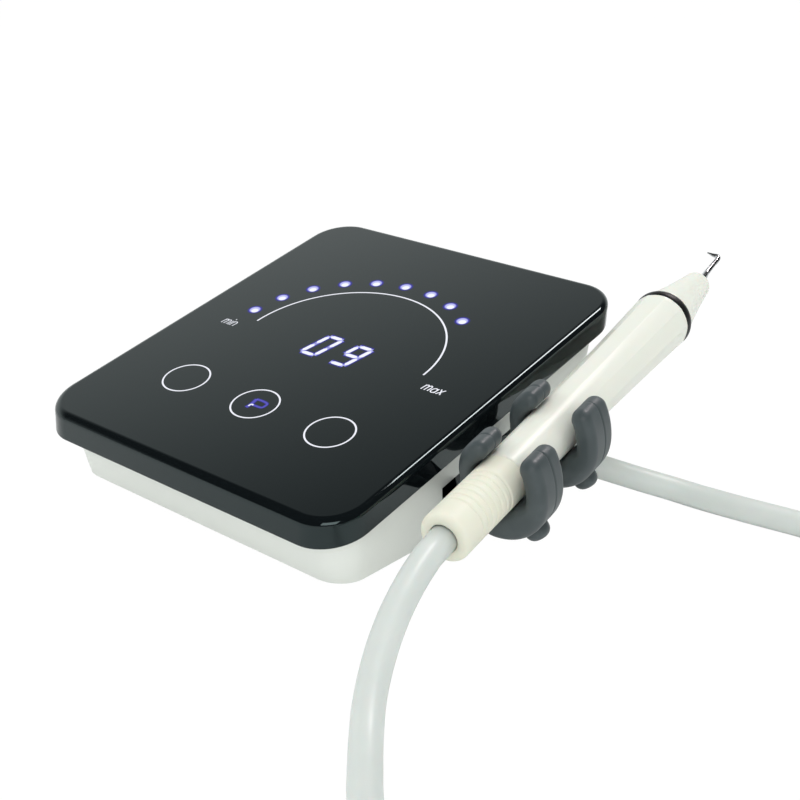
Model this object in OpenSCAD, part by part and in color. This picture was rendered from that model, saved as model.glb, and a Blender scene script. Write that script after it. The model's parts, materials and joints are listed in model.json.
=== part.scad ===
// Table-top ultrasonic dental scaler: a sloping glossy control panel on a white tub,
// two soft hooks on its right wall, and a handpiece on a hose lying in them.
// Before the last shift the middle touch key is at x = 0, y = 0 and the table is z = 0.
// +X is the user's right and +Y is away from the user.

/* [Control panel] */
// Width of the black panel
panel_w = 120; // [110:1:130]
// Distance from the middle touch key to the panel's front wall
panel_front = 32; // [29:0.5:36]
// Distance from the middle touch key to the panel's rear wall
panel_back = 102; // [98:1:108]
// Slope of the panel towards the user, in degrees
slope = 14.5; // [12:0.5:16]
// Height of the panel's upright band
panel_band = 8.2; // [7:0.2:10]
// Plan radius of the panel's corners
panel_corner = 13; // [10:0.5:16]
// Radius where the top turns down into the band
panel_fillet = 2; // [1:0.5:3]
// Wall of the panel moulding
panel_wall = 2.2; // [1.6:0.2:3]
// Height of the panel's top at the middle touch key above the table
key_height = 32.5; // [31:0.5:36]

/* [Keys and display] */
// Spacing of the three touch keys
key_pitch = 29.14; // [27:0.5:31]
// Radius of a touch key
key_r = 7.26; // [5:0.2:9]
// Distance up the slope from the middle key to the centre of the light arc
arc_y = 35.9; // [34:0.5:38]
// Radius of the row of lights
led_ring_r = 39.7; // [37:0.5:42]
// Angle between two lights, in degrees
led_step = 15.5; // [14:0.5:16]
// Number of lights in the arc
led_count = 11; // [9:1:11]
// Height of one lit digit
digit_h = 13; // [11:0.5:14]
// Thickness of the circuit boards
board_t = 1.6; // [1:0.2:2]

/* [Base tub] */
// Half width of the tub at the table
tub_half_low = 54.2; // [50:0.5:56]
// Half width of the tub under the panel
tub_half_top = 58; // [57:0.2:58.4]
// Distance from the middle key to the tub's front wall at the table
tub_front_low = 21.9; // [20:0.5:24]
// Distance from the middle key to the tub's front wall under the panel
tub_front_top = 25.7; // [24:0.5:28]
// Distance from the middle key to the tub's rear wall at the table
tub_back_low = 93; // [90:0.5:95]
// Distance from the middle key to the tub's rear wall under the panel
tub_back_top = 95; // [93:0.5:97]
// Plan radius of the tub's corners
tub_corner = 8.7; // [6:0.5:11]
// Wall of the tub
tub_wall = 2.2; // [1.6:0.2:2.8]
// Height that the rubber feet keep the tub off the table
foot_stand = 1.6; // [1:0.2:3]
// Radius of a rubber foot
foot_r = 6; // [5:0.5:8]

/* [Rear fittings] */
// Height of the rear connector plate
rear_plate_h = 25; // [24:0.5:27]
// Half width of the rear connector plate
rear_plate_half = 47; // [46:0.5:47.5]
// Thickness of the rear connector plate
rear_plate_t = 2; // [1.6:0.2:2.6]
// Bore of the water inlet spigot
inlet_bore_r = 1.5; // [1:0.1:2]
// Outer radius of the water inlet spigot's plain end
inlet_r = 2.5; // [2.2:0.1:3]
// Bore radius of the power socket
jack_bore_r = 3.2; // [2.7:0.1:3.6]
// Bore radius of the foot pedal socket
pedal_bore_r = 3.25; // [2.7:0.05:3.6]
// Radius of the water knob
knob_r = 7; // [6:0.5:8]
// Radius of the water knob's shaft
knob_shaft_r = 3; // [2.5:0.1:3.5]
// Running clearance of shafts and pins
run_fit = 0.06; // [0.03:0.01:0.1]
// Width of the rocker switch's cap
rocker_w = 9; // [8:0.5:10]
// Height of the rocker switch's cap
rocker_h = 15; // [14:0.5:16]
// Tilt of the rocker each side of level, in degrees
rocker_tilt = 7; // [5:0.5:8]

/* [Handpiece] */
// Length from the cable end to the front lip
grip_len = 132.3; // [126:1:136]
// Radius at the cable end
grip_r_tail = 7.05; // [6.8:0.05:7.3]
// Radius at half length
grip_r_mid = 7.55; // [7.4:0.05:7.8]
// Radius at the front lip
grip_r_lip = 9.65; // [9.2:0.05:10]
// Length of the ribbed tail sleeve
sleeve_len = 30; // [27:1:32]
// Number of grooves round the tail sleeve
groove_count = 7; // [5:1:8]
// Distance between two grooves
groove_pitch = 2.4; // [2.2:0.1:2.6]
// Length of the nose cone in front of the lip
nose_len = 33; // [30:0.5:36]
// Radius of the nose cone's end
nose_r_end = 4; // [3.6:0.1:4.6]
// Bore of the handpiece shell
shell_bore_r = 5.4; // [5:0.1:5.8]
// Radius of the O-ring's section
oring_r = 1.1; // [0.8:0.1:1.3]
// Radius of the scaler tip's shank
tip_r = 0.95; // [0.8:0.05:1.2]

/* [Hooks] */
// Least gap between the handpiece and a hook's cradle
hook_gap = 0.25; // [0.2:0.05:0.5]
// Thickness of a hook's arm
hook_t = 6; // [5:0.2:6.6]
// Width of a hook along the handpiece
hook_w = 13; // [11:0.5:14]
// Edge radius of a hook
hook_edge = 2.6; // [1.5:0.1:2.8]
// Depth of the mould line round a hook
mould_groove = 0.4; // [0.2:0.1:0.6]
// Height of the arms above the cradle's centre
hook_arm = 10; // [8:0.5:11]
// Bend radius of the outer arm, which leans over the handpiece
hook_lean_r = 21; // [18:0.5:26]
// Bend radius of the inner arm, which curls over further
hook_curl_r = 13.2; // [12.6:0.1:15]
// Place of the front hook along the handpiece
hook_a = 29.7; // [28.5:0.1:31]
// Place of the rear hook along the handpiece
hook_b = 58; // [56:0.5:61]

/* [Hose] */
// Outer diameter of the hose
hose_d = 7.6; // [7:0.1:7.8]
// Distance between two turns of the coil
coil_pitch = 8.2; // [8.1:0.1:8.8]
// Mean radius of the coil's outermost turn
coil_r = 50.2; // [48:0.2:54]
// Turns in one layer of the coil
coil_turns = 3; // [2:1:3]

/* [Hidden] */

$fn = 64;
eps = 0.01;
seat = 0.15;             // gap left between pieces that seat on each other
rise = tan(slope);

// The finished model is centred on the table under its own box
centre_x = 16.9;
centre_y = 62.6;

black_gloss = "#181b1c";
shell_white = "#e6e8e3";
slate = "#4a5254";
ivory = "#eeeee0";
hose_grey = "#cdd5d2";
steel = "#b9bdc0";
brass_tone = "#c9a44c";
board_green = "#1f6b45";
plastic_black = "#222426";
copper_tone = "#b87333";

// Handpiece axis: the tail's place, clear of the tub's wall and the panel's edge, and the way
// that it points
hang_off_wall = 24.9;
hang_off_panel = 22.9;
tail_at = [max(tub_half_top + hang_off_wall, panel_w / 2 + hang_off_panel), -18.2, 26];
aim_up = 9.9;
aim_in = 6.34;

// Middle points of the hose from the handpiece's tail to the coil
hose_front_way = [
  [84.1, -25.6, 24.7], [86, -33.6, 22.4], [88.6, -43, 18.4], [92, -52, 13.4],
  [96.8, -61, 8.4], [102, -68.2, 5.2], [108.4, -76, 3.9], [115, -83.6, 3.8],
  [123.5, -91.5, 3.8], [134, -97.5, 3.8], [146, -99.5, 3.8], [159, -97, 3.8],
  [171, -90, 3.8], [182, -79.5, 3.8], [192, -67, 3.8], [202, -54, 3.8],
  [213, -42.5, 3.8], [226, -34, 3.8], [237.4, -30.2, 3.8]
];
// Middle points of the hose from the coil to the tub's side wall
hose_back_way = [
  [237.4, 70.2, 12], [227, 71.5, 11], [214, 76, 8.2], [201, 82.5, 5.4],
  [188, 89, 4], [174, 94.6, 3.8], [159, 98, 3.8], [144, 98.9, 3.8],
  [129, 97.6, 3.8], [114, 95.1, 3.8], [99, 93.1, 3.8], [90, 91.3, 4.4],
  [82, 87.4, 5.9], [74.5, 82.8, 7.9], [68, 79.6, 9.3]
];
coil_at = [245, 20];

// Sloping frame of the panel: x across, y up the slope, z off its surface
module on_slope(x = 0, y = 0, z = 0)
  translate([0, 0, key_height]) rotate([slope, 0, 0]) translate([x, y, z]) children();

// Every piece goes through this shift once
module place() translate([-centre_x, -centre_y, 0]) children();

// Height of the panel's top and underside above a point at y
function top_z(y) = key_height + y * rise;
function under_z(y) = top_z(y) - panel_band;

module on_corners(half, front, back, r)
  for (x = [-half + r, half - r], y = [-front + r, back - r]) translate([x, y, 0]) children();

// Four points, one for each corner, as [x, y]
function corners(half, front, back, r) =
  [for (x = [-half + r, half - r], y = [-front + r, back - r]) [x, y]];

shear = [[1, 0, 0, 0], [0, 1, 0, 0], [0, rise, 1, 0], [0, 0, 0, 1]];

// Slab with upright walls and sloping faces, its top edge rounded
module sloping_slab(inset, low, high, fillet) {
  r = panel_corner - inset;
  steps = fillet > 0 ? 5 : 0;
  hull() {
    for (c = corners(panel_w / 2 - inset, panel_front - inset, panel_back - inset, r))
      multmatrix(shear) translate([c[0], c[1], 0])
        for (k = [0:steps]) {
          a = steps > 0 ? 90 * k / steps : 0;
          translate([0, 0, low])
            cylinder(r = r - fillet * (1 - cos(a)), h = high - low - fillet * (1 - sin(a)), $fn = 48);
        }
  }
}

// Board bosses under the panel, in the sloping frame
boss_spots = [[-46, -14], [46, -14], [-46, 82], [46, 82]];
board_top = -6.4;        // top of the display board below the panel's surface
board_half_w = 52;
board_front = 18;
board_len = 104;

module top_panel() color(black_gloss) {
  difference() {
    translate([0, 0, key_height]) sloping_slab(0, -panel_band, 0, panel_fillet);
    translate([0, 0, key_height]) sloping_slab(panel_wall, -panel_band - 1, -panel_wall, 0);
  }
  for (s = boss_spots) on_slope(s[0], s[1], board_top + seat)
    difference() {
      cylinder(r = 3.2, h = -panel_wall - board_top - seat - 0.2 + 0.5);
      translate([0, 0, -eps]) cylinder(r = 1.2, h = 3);
    }
}

module tub_body(inset, low) {
  r = tub_corner - inset;
  hull() {
    for (c = corners(tub_half_low - inset, tub_front_low - inset, tub_back_low - inset, r))
      translate([c[0], c[1], low]) cylinder(r = r, h = 0.2, $fn = 40);
    for (c = corners(tub_half_top - inset, tub_front_top - inset, tub_back_top - inset, r + 2))
      multmatrix(shear) translate([c[0], c[1], key_height - panel_band - seat - 0.2])
        cylinder(r = r + 2, h = 0.2, $fn = 40);
  }
}

floor_top = foot_stand + tub_wall;
rear_face = tub_back_low - 1;
rear_plate_low = floor_top + 1;
rear_mid_z = rear_plate_low + rear_plate_h / 2;
case_inset = 10.2;       // case screws in from the tub's side walls
case_x = tub_half_low - case_inset;
case_spots = [[-case_x, -10], [case_x, -10], [-case_x, 80], [case_x, 80]];
case_boss_h = 9;
grommet_y = 78.5;
grommet_z = 9.6;
recess_from = 18;
recess_to = 59;
recess_h = 10;
recess_x = tub_half_low - 0.9;
recess_z = 9.8;
plate_screws = [14, 34];   // places along the plate

// Frame of the slot in the right wall, its z axis up the panel's slope
module on_side(y, z) translate([recess_x, y, z]) rotate([slope, 0, 0]) children();

module tub() color(shell_white) {
  difference() {
    union() {
      difference() {
        tub_body(0, foot_stand);
        translate([0, 0, tub_wall]) tub_body(tub_wall, foot_stand);
        // open top, above the inner walls
        translate([0, 0, key_height]) intersection() {
          sloping_slab(panel_w / 2 - tub_half_top + tub_wall, -panel_band - 6, 2, 0);
          translate([-tub_half_top + tub_wall, -tub_front_low + tub_wall, -40])
            cube([2 * (tub_half_top - tub_wall), tub_front_low + tub_back_low - 2 * tub_wall, 100]);
        }
      }
      for (s = case_spots) translate([s[0], s[1], foot_stand]) cylinder(r = 4, h = case_boss_h);
      for (s = standoff_spots) translate([s[0], s[1], foot_stand]) cylinder(r = 3, h = standoff_top - foot_stand);
      // thickened pad behind the slot for the hooks
      intersection() {
        tub_body(0, foot_stand);
        on_side(recess_from - 6, recess_z - 8)
          translate([-4, 0, -2]) cube([12, recess_to - recess_from + 16, recess_h + 14]);
      }
    }
    // slot for the hook plate
    on_side(recess_from, recess_z) cube([20, recess_to - recess_from, recess_h]);
    for (y = plate_screws) on_side(recess_from, recess_z) translate([0, y, recess_h / 2])
      rotate([0, -90, 0]) cylinder(r = 1.4, h = 3.5);
    // window for the rear plate
    translate([-rear_plate_half - seat, rear_face - rear_plate_t, rear_plate_low - seat])
      cube([2 * (rear_plate_half + seat), 20, rear_plate_h + 2 * seat]);
    // hose hole
    translate([tub_half_low - 5.2, grommet_y, grommet_z]) rotate([0, 90, 0]) cylinder(r = hose_d / 2 + 1.2, h = 15);
    for (s = case_spots) translate([s[0], s[1], foot_stand - eps]) {
      cylinder(r = 3.6, h = 4);
      cylinder(r = 1.7, h = case_boss_h + 1);
    }
    for (s = foot_spots) translate([s[0], s[1], foot_stand - eps]) cylinder(r = foot_r + 0.2, h = 0.8);
    // cooling slots in the floor
    for (k = [-3:3]) translate([k * 6 - 1, 24, foot_stand - 1]) cube([2, 30, tub_wall + 2]);
  }
}

foot_x = case_x - 2;
foot_spots = [[-foot_x, -2], [foot_x, -2], [-foot_x, 68], [foot_x, 68]];

module rubber_feet() color(slate)
  for (s = foot_spots) translate([s[0], s[1], 0]) rotate_extrude()
    polygon([[0, 0], [foot_r - 1.2, 0], [foot_r, 1.2], [foot_r, foot_stand + 0.7], [0, foot_stand + 0.7]]);

module screw(head_r, head_h, shank_r, shank_len) difference() {
  union() {
    cylinder(r = head_r, h = head_h);
    cylinder(r = shank_r, h = head_h + shank_len);
  }
  translate([0, 0, -eps]) cylinder(r = head_r * 0.45, h = head_h * 0.5, $fn = 6);
}

module case_screws() color(steel)
  for (s = case_spots) translate([s[0], s[1], foot_stand + 1.6]) screw(3.2, 2.2, 1.5, case_boss_h - 4);

display_at = [0, arc_y - 8.5];

module display_board() color(board_green) on_slope(0, 0, board_top - board_t) difference() {
  translate([-board_half_w, -board_front, 0]) cube([2 * board_half_w, board_len, board_t]);
  for (s = boss_spots) translate([s[0], s[1], -1]) cylinder(r = 1.7, h = 4);
  for (x = [-board_half_w, board_half_w]) translate([x, -board_front, -1]) cylinder(r = 6, h = 4, $fn = 4);
}

module display_module() color(plastic_black) on_slope(display_at[0], display_at[1], board_top)
  difference() {
    translate([-16, -digit_h / 2 - 2.5, 0]) cube([32, digit_h + 5, -board_top - panel_wall - 0.3]);
    // windows of the two seven-bar digits
    for (cx = [-7.5, 7.5]) translate([cx, 0, -board_top - panel_wall - 1]) {
      for (y = [-1, 0, 1]) translate([-3, y * (digit_h / 2 - 1) - 0.7, 0]) cube([6, 1.4, 2]);
      for (x = [-1, 1], y = [-1, 1]) translate([x * 4.4 - 0.7, y * (digit_h / 4 - 0.4) - (digit_h / 4 - 1.4), 0])
        cube([1.4, digit_h / 2 - 2.8, 2]);
    }
  }

module arc_lights() color("#dfe6ff")
  for (k = [0:led_count - 1]) {
    a = 173.4 - k * led_step;
    on_slope(led_ring_r * cos(a), arc_y + led_ring_r * sin(a), board_top) {
      cylinder(r = 1.5, h = 2.6);
      translate([0, 0, 2.6]) sphere(r = 1.2);
    }
  }

module touch_pads() color("#303336")
  for (k = [-1:1]) on_slope(k * key_pitch, 0, board_top) difference() {
    cylinder(r = key_r - 0.6, h = -board_top - panel_wall - 0.3);
    translate([0, 0, -eps]) cylinder(r = key_r - 2.6, h = 8);
  }

module board_screws() color(steel)
  for (s = boss_spots) on_slope(s[0], s[1], board_top - board_t - 1.6) screw(2.6, 1.5, 1, 3);

standoff_spots = [[-34, 4], [34, 4], [-34, 58], [34, 58]];
standoff_top = 9;
main_low = standoff_top + 0.1;
main_top = main_low + board_t;

// Height of the display board's underside above a point at y
function board_under(y) = top_z(y) + (board_top - board_t) / cos(slope);

module board_ribbon() color("#c9ccd0") {
  // flat lead from the main board up to the display board
  translate([-9, 0, main_top + 0.1]) cube([18, 1, board_under(0) - seat - main_top - 0.1]);
}

module main_board() color(board_green) difference() {
  translate([-40, -4, main_low]) cube([80, 68, board_t]);
  for (s = standoff_spots) translate([s[0], s[1], main_low - 1]) cylinder(r = 1.6, h = 4);
}

module transformer() color("#3a2f28") translate([16, 30, main_top + 0.1]) {
  cube([24, 6, 17]);
  translate([0, 16, 0]) cube([24, 6, 17]);
  cube([6, 22, 17]);
  translate([18, 0, 0]) cube([6, 22, 17]);
  color(copper_tone) translate([12, 11, 0]) difference() {
    cylinder(r = 8.4, h = 15);
    translate([0, 0, -1]) cylinder(r = 3, h = 17);
  }
}

module capacitors() color("#2b3a55")
  for (p = [[-30, 22, 5, 14], [-18, 22, 5, 14], [-30, 34, 4, 11], [-20, 34, 4, 11], [-11, 34, 3, 8]])
    translate([p[0], p[1], main_top + 0.1]) rotate_extrude()
      polygon([[0, 0], [p[2], 0], [p[2], p[3] - 0.6], [p[2] - 0.6, p[3]], [0, p[3] - 0.3]]);

module heat_sink() color("#8d9296") translate([-30, 46, main_top + 0.1]) {
  cube([28, 3, 16]);
  for (k = [0:6]) translate([k * 4.4, 0, 0]) cube([1.6, 12, 16]);
}

module power_transistors() color(plastic_black)
  for (k = [0:1]) translate([-25 + k * 13, 46 - 4.6, main_top + 0.1]) {
    translate([0, 0, 4]) cube([10, 4.5, 12]);
    for (i = [0:2]) translate([2 + i * 2.5, 2, 0]) cube([0.9, 0.7, 4]);
  }

// Water line: inlet, solenoid valve, needle valve and outlet, at the rear of the tub
inlet_x = -36;
knob_x = -14;
rocker_x = 10;
pedal_x = 25;
jack_x = 39;
valve_at = [-39, 66, floor_top];
valve_mid_y = valve_at[1] + 6.5;
port_z = floor_top + 7;

module water_valve() color("#d9d3c0") translate(valve_at) {
  translate([0, 0, 2.2]) cube([20, 13, 9]);
  for (x = [-3.5, 20]) translate([x, 6.5, 7]) rotate([0, 90, 0]) cylinder(r = 1.8, h = 3.5);
}

module valve_coil() color("#27405c") translate(valve_at + [10, 6.5, 11.3]) difference() {
  translate([-8, -6.5, 0]) cube([16, 13, 13]);
  translate([0, 0, -1]) cylinder(r = 2.2, h = 16);
}

module valve_bracket() color(steel) translate(valve_at) {
  translate([1, 1, 0.1]) cube([18, 11, 2]);
}

module inlet_tube() color("#dfe7ea") tube(smooth([
  [inlet_x, rear_face - rear_plate_t - 5.4, rear_mid_z], [-36.6, 82.4, 17.2], [-39.4, 81.6, 16.8],
  [-43.4, 80.4, 15.8], [-46.6, 77.4, 14.4], [-47.6, 74.4, 12.4], [-46.4, valve_mid_y, 11],
  [-44.4, valve_mid_y, port_z], [valve_at[0] - 3.7, valve_mid_y, port_z]], 2), 1.6, 8, [0, -1, 0], [1, 0, 0]);

module outlet_tube() color("#dfe7ea") tube(smooth([
  [valve_at[0] + 23.7, valve_mid_y, port_z], [-13, 72.4, 10.9], [-10.6, 72, 12], [-9.6, 70.8, 15],
  [-10.6, 69.6, 18.2], [-12.8, 69.9, 20.4], [knob_x, 71.6, rear_mid_z + 3.4],
  [knob_x, rear_face - rear_plate_t - 2 * seat - needle_len - 3, rear_mid_z + 3.4]], 2),
  1.5, 8, [1, 0, 0], [0, 1, 0]);

module rear_plate() color(plastic_black) difference() {
  translate([-rear_plate_half, rear_face - rear_plate_t, rear_plate_low])
    cube([2 * rear_plate_half, rear_plate_t, rear_plate_h]);
  translate([0, rear_face + 1, rear_mid_z]) rotate([90, 0, 0]) {
    translate([inlet_x, 0, 0]) cylinder(r = 4.2, h = 6);
    translate([knob_x, 0, 0]) cylinder(r = knob_shaft_r + 1.2, h = 6);
    translate([pedal_x, 0, 0]) cylinder(r = pedal_bore_r + 1.7, h = 6);
    translate([jack_x, 0, 0]) cylinder(r = jack_bore_r + 1.5, h = 6);
    translate([rocker_x - rocker_w / 2 - 1.9, -rocker_h / 2 - 1.9, 0]) cube([rocker_w + 3.8, rocker_h + 3.8, 6]);
  }
}

// Round socket lying along Y: flange outside, barrel through the plate, blind bore from outside
module rear_socket(x, bore_r, bore_len, flange_r, barrel_len) translate([x, rear_face, rear_mid_z])
  rotate([90, 0, 0]) difference() {
    union() {
      translate([0, 0, -2]) cylinder(r = flange_r, h = 2);
      translate([0, 0, -eps]) cylinder(r = bore_r + 1.4, h = barrel_len);
    }
    translate([0, 0, -3]) cylinder(r = bore_r, h = bore_len + 3 - 2);
  }

socket_bore_len = 11;

module power_socket() color(plastic_black) {
  rear_socket(jack_x, jack_bore_r, socket_bore_len, jack_bore_r + 2.6, 12);
  color(steel) translate([jack_x, rear_face + 1.2, rear_mid_z]) rotate([90, 0, 0]) cylinder(r = 1, h = 11);
}

module pedal_socket() color(steel) rear_socket(pedal_x, pedal_bore_r, socket_bore_len, pedal_bore_r + 2.4, 12);

inlet_out = 16;

module water_inlet() color(brass_tone) translate([inlet_x, rear_face, rear_mid_z]) rotate([-90, 0, 0])
  difference() {
    rotate_extrude() polygon([
      [0, -rear_plate_t - 5.2], [3, -rear_plate_t - 5.2], [3, -rear_plate_t - 4], [4, -rear_plate_t - 4], [4, 0],
      [5.4, 0], [5.4, 3], [inlet_r, 3], [inlet_r, 2 + inlet_out], [inlet_r - 0.6, 3 + inlet_out], [0, 3 + inlet_out]]);
    translate([0, 0, -rear_plate_t - 6]) cylinder(r = inlet_bore_r, h = 30);
  }

needle_len = 13;

module needle_valve() color(brass_tone) translate([knob_x, rear_face - rear_plate_t - seat, rear_mid_z]) {
  rotate([90, 0, 0]) difference() {
    cylinder(r = 6, h = needle_len, $fn = 6);
    translate([0, 0, -eps]) cylinder(r = knob_shaft_r + run_fit, h = 9);
  }
  translate([0, -needle_len + eps, 5 - 1.6]) rotate([90, 0, 0]) cylinder(r = 1.6, h = 3);
}

knob_stand = 1;
knob_h = 11;

module water_knob() color("#3c4144") translate([knob_x, rear_face + knob_stand, rear_mid_z]) rotate([-90, 0, 0]) {
  difference() {
    rotate_extrude() polygon([[0, 0], [knob_r, 0], [knob_r, knob_h - 1.4], [knob_r - 1.4, knob_h], [0, knob_h]]);
    for (k = [0:17]) rotate(k * 20) translate([knob_r + 0.25, 0, -1]) cylinder(r = 0.7, h = knob_h + 3);
    translate([-0.6, 1.5, knob_h - 0.6]) cube([1.2, knob_r, 2]);
  }
  translate([0, 0, -knob_stand - rear_plate_t - 8]) cylinder(r = knob_shaft_r, h = knob_stand + rear_plate_t + 8 + eps);
}

rocker_pin_r = 0.8;
rocker_depth = 1.2;      // the rocker's pivot below the plate's outer face

module rocker_frame() color(plastic_black) translate([rocker_x, rear_face, rear_mid_z]) difference() {
  union() {
    translate([-rocker_w / 2 - 3, 0, -rocker_h / 2 - 3]) cube([rocker_w + 6, 1.6, rocker_h + 6]);
    translate([-rocker_w / 2 - 1.7, -12, -rocker_h / 2 - 1.7]) cube([rocker_w + 3.4, 12 + eps, rocker_h + 3.4]);
  }
  translate([-rocker_w / 2 - 0.3, -8, -rocker_h / 2 - 0.3]) cube([rocker_w + 0.6, 20, rocker_h + 0.6]);
  translate([-rocker_w / 2 - 1.4, -rocker_depth, 0]) rotate([0, 90, 0]) cylinder(r = rocker_pin_r, h = rocker_w + 2.8);
}

module rocker() color("#2f3335") translate([rocker_x, rear_face - rocker_depth, rear_mid_z])
  rotate([-rocker_tilt, 0, 0]) difference() {
    intersection() {
      translate([-rocker_w / 2, -3, -rocker_h / 2]) cube([rocker_w, 7.4, rocker_h]);
      // two flats that meet in a shallow valley
      union() {
        rotate([rocker_tilt, 0, 0]) translate([-rocker_w, -6, 0]) cube([2 * rocker_w, 9.2, rocker_h]);
        rotate([-rocker_tilt, 0, 0]) translate([-rocker_w, -6, -rocker_h]) cube([2 * rocker_w, 9.2, rocker_h]);
        translate([-rocker_w, -6, -3]) cube([2 * rocker_w, 8.8, 6]);
      }
      rotate([0, 90, 0]) translate([0, 0, -rocker_w]) cylinder(r = rocker_h / 2, h = 2 * rocker_w);
    }
    translate([-rocker_w, 0, 0]) rotate([0, 90, 0]) cylinder(r = rocker_pin_r + run_fit, h = 2 * rocker_w);
  }

module rocker_pin() color(steel) translate([rocker_x - rocker_w / 2 - 1.4, rear_face - rocker_depth, rear_mid_z])
  rotate([0, 90, 0]) cylinder(r = rocker_pin_r, h = rocker_w + 2.8);

// Handpiece frame: z runs along its axis from the tail to the tip
module on_axis(z = 0) translate(tail_at) rotate([0, 0, aim_in]) rotate([aim_up - 90, 0, 0])
  translate([0, 0, z]) children();

// Barrel radius at a distance from the tail: a smooth curve through tail, middle and lip
function barrel_r(z) =
  let (s = z / grip_len)
  grip_r_tail * (1 - s) * (1 - 2 * s) + 4 * grip_r_mid * s * (1 - s) + grip_r_lip * s * (2 * s - 1);

function ramp(from, to, count) = [for (k = [0:count]) from + (to - from) * k / count];

lip_len = 5;
shell_from = sleeve_len + 0.1;
shell_to = grip_len - lip_len - 0.1;

module tail_sleeve() color(ivory) on_axis() difference() {
  rotate_extrude() polygon(concat(
    [[shell_bore_r - 0.8, 0.6], [shell_bore_r - 0.4, 0]],
    [for (a = ramp(-90, 0, 5)) [barrel_r(0) - 1.8 + 1.8 * cos(a), 1.8 + 1.8 * sin(a)]],
    [for (z = ramp(4, sleeve_len, 8)) [barrel_r(z), z]],
    [[shell_bore_r - 0.8, sleeve_len]]));
  for (k = [0:groove_count - 1]) rotate_extrude()
    translate([barrel_r(8) + 0.1, 8 + k * groove_pitch]) circle(r = 0.5, $fn = 16);
}

module handpiece_shell() color(ivory) on_axis() rotate_extrude() polygon(concat(
  [[shell_bore_r, shell_from]],
  [for (z = ramp(shell_from, shell_to, 16)) [barrel_r(z), z]],
  [[shell_bore_r, shell_to]]));

module front_lip() color("#f4f4ec") on_axis() rotate_extrude() polygon([
  [shell_bore_r, shell_to + 0.1], [barrel_r(shell_to + 0.1), shell_to + 0.1],
  [barrel_r(grip_len - 1), grip_len - 1], [barrel_r(grip_len) - 0.7, grip_len], [shell_bore_r, grip_len]]);

oring_at = grip_len + oring_r + 0.1;
oring_mid = grip_r_lip - oring_r - 0.15;
nose_root = grip_len + 0.1;
nose_from = oring_at + oring_r + 0.1;
nose_to = grip_len + nose_len;

module o_ring() color("#121314") on_axis(oring_at) rotate_extrude() translate([oring_mid, 0]) circle(r = oring_r, $fn = 24);

module nose_cone() color("#efefe4") on_axis() rotate_extrude() polygon(concat(
  [[3.4, nose_root], [oring_mid - oring_r - 0.1, nose_root], [oring_mid - oring_r - 0.1, nose_from]],
  [[grip_r_lip - 1.2, nose_from], [grip_r_lip - 0.8, nose_from + 0.8]],
  // flare, then a straight cone with a rounded end
  [for (s = ramp(0.1, 1, 8))
    [nose_r_end + 0.6 + (grip_r_lip - 1.4 - nose_r_end) * (1 - s) * (1 - 0.25 * s), nose_from + (nose_to - nose_from - 1.6) * s]],
  [for (a = ramp(15, 75, 3)) [nose_r_end - 1 + 1.4 * cos(a), nose_to - 1.5 + 1.5 * sin(a)]],
  [[1.9, nose_to], [1.9, nose_to - 8], [3.4, nose_to - 12]]));

connector_len = 24;

module tail_connector() color(plastic_black) on_axis(hose_d + 3) {
  cylinder(r = shell_bore_r - 1, h = connector_len - 4);
  for (a = [0:90:270]) translate([2.6 * cos(a), 2.6 * sin(a), connector_len - 4]) cylinder(r = 0.5, h = 4);
}

stack_from = sleeve_len + 14;
mass_len = 12;
ring_t = 4;
ring_count = 4;
horn_from = stack_from + mass_len + ring_count * (ring_t + 0.3) + 0.4;

module back_mass() color(steel) on_axis(stack_from) difference() {
  cylinder(r = shell_bore_r - 0.3, h = mass_len);
  translate([0, 0, -1]) cylinder(r = 1.6, h = mass_len + 2);
}

module piezo_rings() color("#d8c9a0")
  for (k = [0:ring_count - 1]) on_axis(stack_from + mass_len + 0.3 + k * (ring_t + 0.3)) difference() {
    cylinder(r = shell_bore_r - 0.5, h = ring_t);
    translate([0, 0, -1]) cylinder(r = 2, h = ring_t + 2);
  }

module horn() color("#9fa6aa") on_axis() rotate_extrude() polygon(concat(
  [[0, horn_from], [shell_bore_r - 0.3, horn_from], [shell_bore_r - 0.3, horn_from + 16]],
  [for (s = ramp(0.1, 1, 8)) [1.7 + (shell_bore_r - 2) * (1 - s) * (1 - s), horn_from + 16 + s * (nose_to - 9 - horn_from - 16)]],
  [[1.7, nose_to - 0.2], [0, nose_to - 0.2]]));

// Scaler tip: collar, shank to an elbow, then a short pointed end across it.
// Each point is [x, y, z, radius]; -y is up
tip_way = [
  [0, 0, nose_to + 2.6, 1.3], [0, -0.5, nose_to + 5, tip_r * 1.15], [0, -0.9, nose_to + 7, tip_r],
  [0, -2, nose_to + 10, tip_r * 0.92], [-0.1, -2.9, nose_to + 12.4, tip_r * 0.9],
  [-0.9, -3.3, nose_to + 13.4, tip_r * 0.86], [-2.6, -3.6, nose_to + 13.9, 0.6], [-4.8, -4, nose_to + 14.6, 0.25]];

function first3(p) = [p[0], p[1], p[2]];

module scaler_tip() color(steel) on_axis() {
  translate([0, 0, nose_to]) {
    cylinder(r = 1.9, h = 1.2, $fn = 6);
    translate([0, 0, 1.2]) cylinder(r1 = 1.7, r2 = 1.5, h = 1.6, $fn = 24);
  }
  w = smooth(tip_way, 2);
  loft([for (k = [0:len(w) - 1]) ring_of(first3(w[k]), first3(tangent(w, k)), w[k][3], 12)]);
}

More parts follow.
